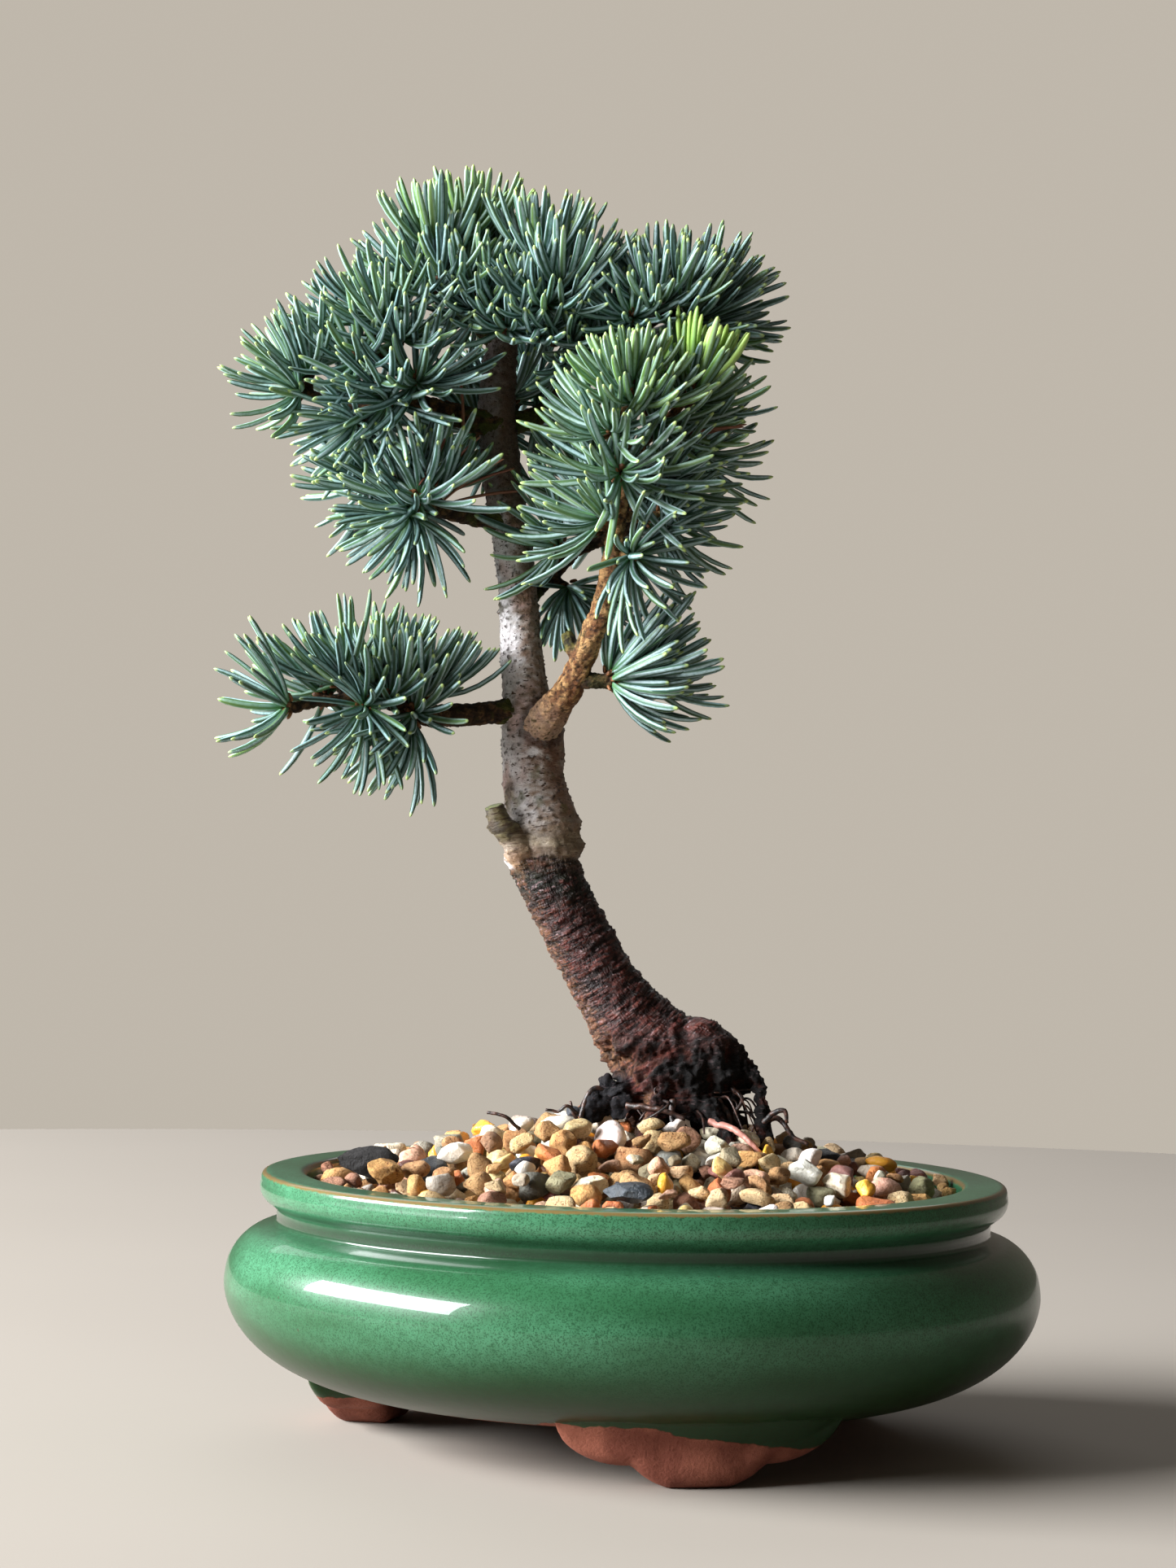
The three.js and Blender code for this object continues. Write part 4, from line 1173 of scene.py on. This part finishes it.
def with_cut_stub(tint, points, normals, small):
    """Mossy sides on the cut stub, a pale scar under its root and greenish wood on the cut."""
    end = np.array(CUT_STUB[-1][:3])
    outward = unit(end - np.array(CUT_STUB[-2][:3]))
    gap = np.linalg.norm(points - end, axis=1)
    off_trunk = smoothstep(8.6, 9.6, np.hypot(points[:, 0] + 24.5, points[:, 1]))
    mossy = blend(smoothstep(-0.2, 0.3, small), linear(66, 56, 38), linear(112, 104, 70))
    tint = blend(0.85 * (smoothstep(10, 8, gap) * off_trunk), tint, mossy)
    from_scar = (points - np.array(CUT_STUB[1][:3]) - (0, 0.5, -3.5)) / (1, 1, 1.5)
    scar = np.exp(-(np.linalg.norm(from_scar, axis=1) / 2.6) ** 2)
    tint = blend(scar, tint, linear(178, 140, 100))
    cut = smoothstep(0.6, 0.85, normals @ outward) * (gap < 4.5)
    return blend(cut, tint, linear(158, 166, 112))


def trunk_colours(points, normals, relief):
    """Silver-grey bark above with painted light and shade on its sides, dark red-brown rings below the tan
    collar, nearly black at the foot.
    """
    small = fractal(points * (1, 1, 1.6), 2.2, 3, 8)
    grey = grey_bark(points, normals, small, relief)
    red = with_dark_foot(red_bark(points, normals, small, relief), points, relief)
    tan = blend(smoothstep(-0.2, 0.5, relief["fine"]), linear(128, 110, 86), linear(176, 160, 134))
    tint = blend(relief["low"], grey, red)
    tint = blend(0.85 * relief["collar"], tint, tan)
    tint = with_moss(tint, points, small)
    tint = with_branch_joint(tint, points, small)
    return with_cut_stub(tint, points, normals, small)


def make_fine_roots():
    parts = Parts()
    for index, route in enumerate(FINE_ROOTS):
        pink = 1.0 if index == len(FINE_ROOTS) - 1 else 0.0
        path = spline(route, 0.6)
        path[:, :3] += 0.35 * np.column_stack([
            fractal(path[:, :3], 2.5, 2, seed) for seed in (index, index + 20, index + 40)])
        add_limb(parts, path, 8, pink=pink)
    random = np.random.default_rng(23)
    for _ in range(34):
        angle = random.uniform(0, 2 * math.pi)
        start = np.array([12 + 12 * math.cos(angle), 2 + 12 * math.sin(angle), random.uniform(80, 86)])
        outward = np.array([math.cos(angle), math.sin(angle), 0])
        sideways = np.array([-outward[1], outward[0], 0])
        reach = random.uniform(3, 11)
        swing = random.normal(0, 4)
        middle = start + outward * reach * 0.5 + sideways * swing + (0, 0, random.uniform(-2, 2))
        end = start + outward * reach + sideways * swing * 0.5
        end[2] = float(dome(end[0], end[1])) - 1.5
        radius = random.uniform(0.2, 0.42)
        route = [(*start, radius), (*middle, radius), (*end, radius * 0.7)]
        add_limb(parts, spline(route, 0.8), 6, pink=0.0)
    finish_piece(parts.make("fine_roots"), root_material(), "trunk_bark")


# The bark of most branches: light flakes on a dark ground, with cracks and moss.
USUAL_BARK = dict(light=(112, 84, 56), dark=(54, 40, 28), cracks=1, moss=0.7, smooth=0.2)
# Where the bark of a branch differs from that.
BRANCH_BARK = {
    "front_right": dict(light=(208, 160, 106), dark=(132, 86, 50), cracks=0.6, moss=0.25, smooth=0.5),
    "front_low": dict(moss=0.25),
    "lower_left": dict(light=(104, 78, 50), dark=(48, 34, 24)),
    "upper_left": dict(light=(116, 82, 52), dark=(54, 38, 26)),
}


def nearest_on(routes, spot):
    """The nearest point, with its radius, on a branch's own shoots."""
    paths = np.vstack([spline(route, 1) for route in routes])
    return paths[np.linalg.norm(paths[:, :3] - spot, axis=1).argmin()]


def branch_colours(points, start, bark, flakes, crack, scabs):
    """Light flakes on a dark ground with scabs, mossy most of all near the trunk."""
    tint = blend(smoothstep(-0.3, 0.35, flakes), linear(*bark["dark"]), linear(*bark["light"]))
    tint = blend(0.7 * crack, tint, linear(36, 24, 18))
    tint = blend(0.85 * scabs, tint, linear(52, 34, 22))
    near_trunk = smoothstep(16, 5, np.linalg.norm(points - start, axis=1))
    mossy = smoothstep(-0.1, 0.35, fractal(points, 2.6, 3, 6) + 0.5 * near_trunk - 0.25)
    return blend(bark["moss"] * mossy * (0.35 + near_trunk), tint, linear(78, 84, 34))


def with_front_marks(tint, points, start, flakes, scabs):
    """The front branch is pale where it leaves the trunk and mossy on its own small stub."""
    joint = smoothstep(18, 6, np.linalg.norm(points - start, axis=1))
    tint = blend(0.6 * joint * (1 - scabs), tint, linear(196, 166, 146))
    stub = np.exp(-((points - (-19, -14, 196)) ** 2).sum(1) / 4.5 ** 2)
    mossy = blend(smoothstep(-0.3, 0.3, flakes), linear(40, 34, 18), linear(98, 94, 40))
    return blend(1.5 * stub, tint, mossy)


def branch_wood(name):
    """The shoots of a branch fused with a short spur to each of its whorls."""
    routes = BRANCHES[name] or [TRUNK_ROUTE[-5:]]
    parts = Parts()
    for route in BRANCHES[name]:
        add_limb(parts, spline(route, 0.8), 16)
    for centre, *_ in WHORLS[name]:
        root = nearest_on(routes, np.array(centre))
        middle = (root[:3] + centre) / 2 + (0, 0, -0.6)
        spur = [(*root[:3], 1.5), (*middle, 1.25), (*centre, 1.5)]
        add_limb(parts, spline(spur, 0.8), 10)
    return fused(parts.make(f"wood_{name}"), 0.34, 3), np.array(routes[0][0][:3])


def make_branch(name, material):
    wood, start = branch_wood(name)
    bark = {**USUAL_BARK, **BRANCH_BARK.get(name, {})}
    points = points_of(wood)
    normals = normals_of(wood)
    flakes = fractal(points * (1, 1, 0.75), 1.9, 4, 3)
    lumps = fractal(points, 5, 3, 4)
    crack = bark["cracks"] * smoothstep(0.2, 0.04, cells(points, 2.1, 5))
    scabs = smoothstep(0.3, 0.42, fractal(points * (1, 1, 1.5), 1.1, 3, 8))
    move_points(wood, points + normals * (0.3 * flakes + 0.28 * lumps - 0.22 * crack)[:, None])
    tint = branch_colours(points, start, bark, flakes, crack, scabs)
    if name == "front_right":
        tint = with_front_marks(tint, points, start, flakes, scabs)
    keep_numbers(wood.data, "tint", tint)
    keep_numbers(wood.data, "smooth", np.full(len(points), bark["smooth"]))
    keep_numbers(wood.data, "ringed", np.zeros(len(points)))
    keep_numbers(wood.data, "place", points * MM)
    nodes = [f"branch_{name}"] if BRANCHES[name] else []
    finish_piece(wood, material, "branch_bark", *nodes)


# ---------------------------------------------------------------------------
# Needles and buds
# ---------------------------------------------------------------------------
# A needle has rings of points at these shares of its length, with this many sides.
RINGS = np.array([0, 0.06, 0.2, 0.38, 0.56, 0.74, 0.88, 0.95, 0.985])
SIDES = 6
# Its girth, as a share of its full width, at places along it.
GIRTH = [(0, 0.6), (0.1, 0.85), (0.3, 1), (0.8, 0.96), (0.93, 0.78), (0.985, 0.42)]
# Every other side of it carries a pale stripe.
STRIPE = np.append(np.tile([0, 1.0, 0, 1.0, 0, 1.0], len(RINGS)), 0.5)
# The turn in radians from one needle of a whorl to the next.
GOLDEN_ANGLE = 2.39996


def blade_faces():
    faces = ring_faces(len(RINGS), SIDES)[:-1]
    last = (len(RINGS) - 1) * SIDES
    tip = len(RINGS) * SIDES
    faces.extend([last + side, last + (side + 1) % SIDES, tip] for side in range(SIDES))
    return faces


def add_blade(parts, start, axis, outward, angle, bend, length, width, random, rise=0.0, **numbers):
    """One needle or scale. It leaves start at an angle to the axis, towards outward, and curves."""
    side = np.cross(axis, outward)
    middles = (RINGS[1:] + RINGS[:-1]) / 2
    turn = angle + bend * (0.5 - middles)
    steps = np.cos(turn)[:, None] * axis + np.sin(turn)[:, None] * outward
    steps = steps + np.array([0, 0, rise]) * middles[:, None] + side * random.normal(0, 0.035)
    steps = unit(steps) * (np.diff(RINGS) * length)[:, None]
    path = start + np.vstack([np.zeros(3), np.cumsum(steps, axis=0)])
    tangents = unit(np.gradient(path, axis=0))
    across = unit(side - (tangents * side).sum(1)[:, None] * tangents)
    thick = np.cross(tangents, across)
    girth = np.interp(RINGS, *zip(*GIRTH)) * width / 2
    angles = np.linspace(0, 2 * math.pi, SIDES, endpoint=False) + random.uniform(-0.5, 0.5)
    wide = np.cos(angles)[None, :, None] * across[:, None]
    flat = 0.78 * np.sin(angles)[None, :, None] * thick[:, None]
    ring = wide + flat
    points = (path[:, None] + ring * girth[:, None, None]).reshape(-1, 3)
    tip = path[-1] + tangents[-1] * width * 0.22
    along = np.append(np.repeat(RINGS, SIDES), 1.0)
    parts.add(np.vstack([points, tip]), BLADE, along=along, **numbers)


BLADE = blade_faces()
TRUNK_LINE = spline(TRUNK_ROUTE, 1.5)
CENTRES = np.array([whorl[0] for whorls in WHORLS.values() for whorl in whorls], float)


def meets_trunk(path):
    gaps = np.linalg.norm(path[:, None] - TRUNK_LINE[None, :, :3], axis=2)
    return bool((gaps < TRUNK_LINE[None, :, 3] + 0.6).any())


def strays(centre, spot):
    """True where a spot on a needle is well inside the room of another whorl."""
    others = CENTRES[np.linalg.norm(CENTRES - centre, axis=1) > 0.1]
    return np.linalg.norm(others - spot, axis=1).min() < 0.6 * np.linalg.norm(spot - centre)


def add_bud(scales, centre, axis, u, v, random):
    """The brown bud in the middle of a whorl, of scales that overlap."""
    count = 14
    for index in range(count):
        around = index * GOLDEN_ANGLE
        outward = math.cos(around) * u + math.sin(around) * v
        share = (index + 0.5) / count
        start = centre + axis * (1.0 - 2.2 * share) + outward * (0.3 + 1.1 * share)
        add_blade(scales, start, axis, outward, 0.3 + 1.0 * share, 0.5, random.uniform(1.6, 2.8),
                  random.uniform(1.0, 1.7), random)


def add_whorl(needles, scales, whorl, random):
    """Needles that fan out round a bud, the outer ones longer and lower than the inner ones."""
    centre, faces, count, length, spread, young = whorl
    centre = np.array(centre, float)
    axis = unit(faces)
    u = unit(np.cross(axis, (0.3, 0.5, 0.81)))
    v = np.cross(axis, u)
    whorl_tone = random.uniform(0.1, 0.9)
    for index in range(count):
        around = index * GOLDEN_ANGLE + random.uniform(-0.25, 0.25)
        outward = math.cos(around) * u + math.sin(around) * v
        share = math.sqrt((index + 0.5) / count)
        angle = math.radians(spread) * share + random.normal(0, 0.06)
        towards = math.cos(angle) * axis + math.sin(angle) * outward
        size = length * (0.76 + 0.28 * share) * random.uniform(0.88, 1.08)
        if random.uniform() < 0.08:
            size = random.uniform(0.3, 0.6) * length
        start = centre + axis * (1.2 - 1.2 * share) + outward * (0.4 + 1.0 * share)
        if towards[2] < -0.25 < axis[2] and random.uniform() < 0.5:
            continue
        if strays(centre, start + towards * size * 0.8):
            continue
        if meets_trunk(start + np.outer([0.4, 0.7, 1], towards) * size):
            continue
        fresh = np.clip(young + random.normal(0, 0.12), 0, 1)
        tone = np.clip(whorl_tone + random.normal(0, 0.25), 0, 1)
        add_blade(needles, start, axis, outward, angle + 0.1, random.normal(0.5, 0.1), size,
                  random.uniform(1.6, 2.0), random, rise=0.3, stripe=STRIPE,
                  tone=tone, fresh=fresh, dead=0.0)
    add_bud(scales, centre, axis, u, v, random)


def make_foliage(name, needle_paint, bud_paint, seed):
    random = np.random.default_rng(seed)
    needles = Parts()
    scales = Parts()
    for whorl in WHORLS[name]:
        add_whorl(needles, scales, whorl, random)
    nodes = [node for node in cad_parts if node.rstrip("0123456789") == f"needles_{name}_"]
    finish_piece(needles.make(f"foliage_{name}"), needle_paint, "needles", *nodes)
    finish_piece(scales.make(f"buds_{name}"), bud_paint, "branch_bark")


def make_dead_needles(needle_paint):
    random = np.random.default_rng(3)
    parts = Parts()
    for start, towards, length in DEAD_NEEDLES:
        axis = unit(towards)
        outward = unit(np.cross(axis, (0.2, 0.9, 0.3)))
        add_blade(parts, np.array(start, float), axis, outward, 0.0, 0.3, length, 1.0, random,
                  stripe=STRIPE, tone=random.uniform(), fresh=0.0, dead=1.0)
    finish_piece(parts.make("dead_needles"), needle_paint, "needles")


# ---------------------------------------------------------------------------
# Camera, lights and floor
# ---------------------------------------------------------------------------
# The camera: where it stands in metres, its lens in millimetres, and how it is turned in radians.
CAMERA = dict(place=(0, -0.962241, 0.153662), lens=89.67, pitch=0.007, yaw=-0.014, roll=0.022)


def make_camera():
    """The camera that looks level at the tree from the front, at about half its height."""
    data = bpy.data.cameras.new("camera")
    data.sensor_width = 36
    data.lens = CAMERA["lens"]
    data.clip_end = 50
    camera = bpy.data.objects.new("camera", data)
    bpy.context.scene.collection.objects.link(camera)
    pitch, yaw, roll = (CAMERA[name] for name in ["pitch", "yaw", "roll"])
    level = math.cos(pitch)
    forward = Vector((math.sin(yaw) * level, math.cos(yaw) * level, math.sin(pitch)))
    right = Vector((math.cos(yaw), -math.sin(yaw), 0))
    up = right.cross(forward)
    tilted_right = math.cos(roll) * right + math.sin(roll) * up
    tilted_up = -math.sin(roll) * right + math.cos(roll) * up
    turn = Matrix((tilted_right, tilted_up, -forward)).transposed().to_4x4()
    camera.matrix_world = Matrix.Translation(CAMERA["place"]) @ turn
    bpy.context.scene.camera = camera


def add_light(name, place, target, width, height, power, colour):
    data = bpy.data.lights.new(name, "AREA")
    data.shape = "RECTANGLE"
    data.size = width
    data.size_y = height
    data.energy = power
    data.color = colour
    light = bpy.data.objects.new(name, data)
    light.location = place
    direction = Vector(target) - Vector(place)
    light.rotation_euler = direction.to_track_quat("-Z", "Y").to_euler()
    light.visible_camera = False
    bpy.context.scene.collection.objects.link(light)


def make_stage():
    """A round pale floor, a large low window on the left and a weak light behind."""
    radius = 0.9
    sides = 128
    mesh = bpy.data.meshes.new("floor")
    turns = np.linspace(0, 2 * math.pi, sides, endpoint=False)
    edge = [(radius * math.cos(turn), radius * math.sin(turn), 0) for turn in turns]
    mesh.from_pydata(edge, [], [list(range(sides))])
    floor = bpy.data.objects.new("floor", mesh)
    bpy.context.scene.collection.objects.link(floor)
    paint = Paint("pale_floor")
    tone = paint.noise(300, detail=2)
    colour = paint.mix(tone, linear(150, 143, 134), linear(158, 151, 142))
    mesh.materials.append(paint.finish(colour, 0.75))
    make_world()
    bpy.context.scene.view_settings.view_transform = "Standard"
    aim = (0, 0, 0.15)
    add_light("window", (-2.04, -0.5, 0.89), aim, 2.2, 0.84, 275, (0.97, 0.98, 1.0))
    add_light("back", (-0.4, 2.2, 1.85), aim, 2.4, 1.6, 14, (0.96, 0.98, 1.0))


def make_world():
    """A dim room around the tree, that the camera sees as a paler wall."""
    world = bpy.data.worlds.new("studio")
    world.use_nodes = True
    tree = world.node_tree
    room = tree.nodes["Background"]
    room.inputs["Color"].default_value = (*linear(216, 202, 184), 1)
    room.inputs["Strength"].default_value = 0.17
    wall = tree.nodes.new("ShaderNodeBackground")
    wall.inputs["Color"].default_value = (*linear(190, 182, 170), 1)
    seen = tree.nodes.new("ShaderNodeLightPath").outputs["Is Camera Ray"]
    mix = tree.nodes.new("ShaderNodeMixShader")
    tree.links.new(seen, mix.inputs[0])
    tree.links.new(room.outputs[0], mix.inputs[1])
    tree.links.new(wall.outputs[0], mix.inputs[2])
    tree.links.new(mix.outputs[0], tree.nodes["World Output"].inputs["Surface"])
    bpy.context.scene.world = world


# ---------------------------------------------------------------------------
# The object
# ---------------------------------------------------------------------------
def dress(node, material):
    """Gives a piece of the part that keeps its shape its finish."""
    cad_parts[node].data.materials.clear()
    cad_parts[node].data.materials.append(material)


make_camera()
make_stage()
make_pot()
dress("soil", soil_material())
dress("drainage_mesh", mesh_material())
dress("mesh_clip", wire_material())
make_stones(make_gravel())
make_trunk()
make_fine_roots()
branch_paint = bark_material("branch_bark", 0.9, linear(44, 28, 18))
needle_paint = needle_material()
bud_paint = bud_material()
for number, branch in enumerate(BRANCHES):
    make_branch(branch, branch_paint)
    make_foliage(branch, needle_paint, bud_paint, 100 + number)
make_dead_needles(needle_paint)
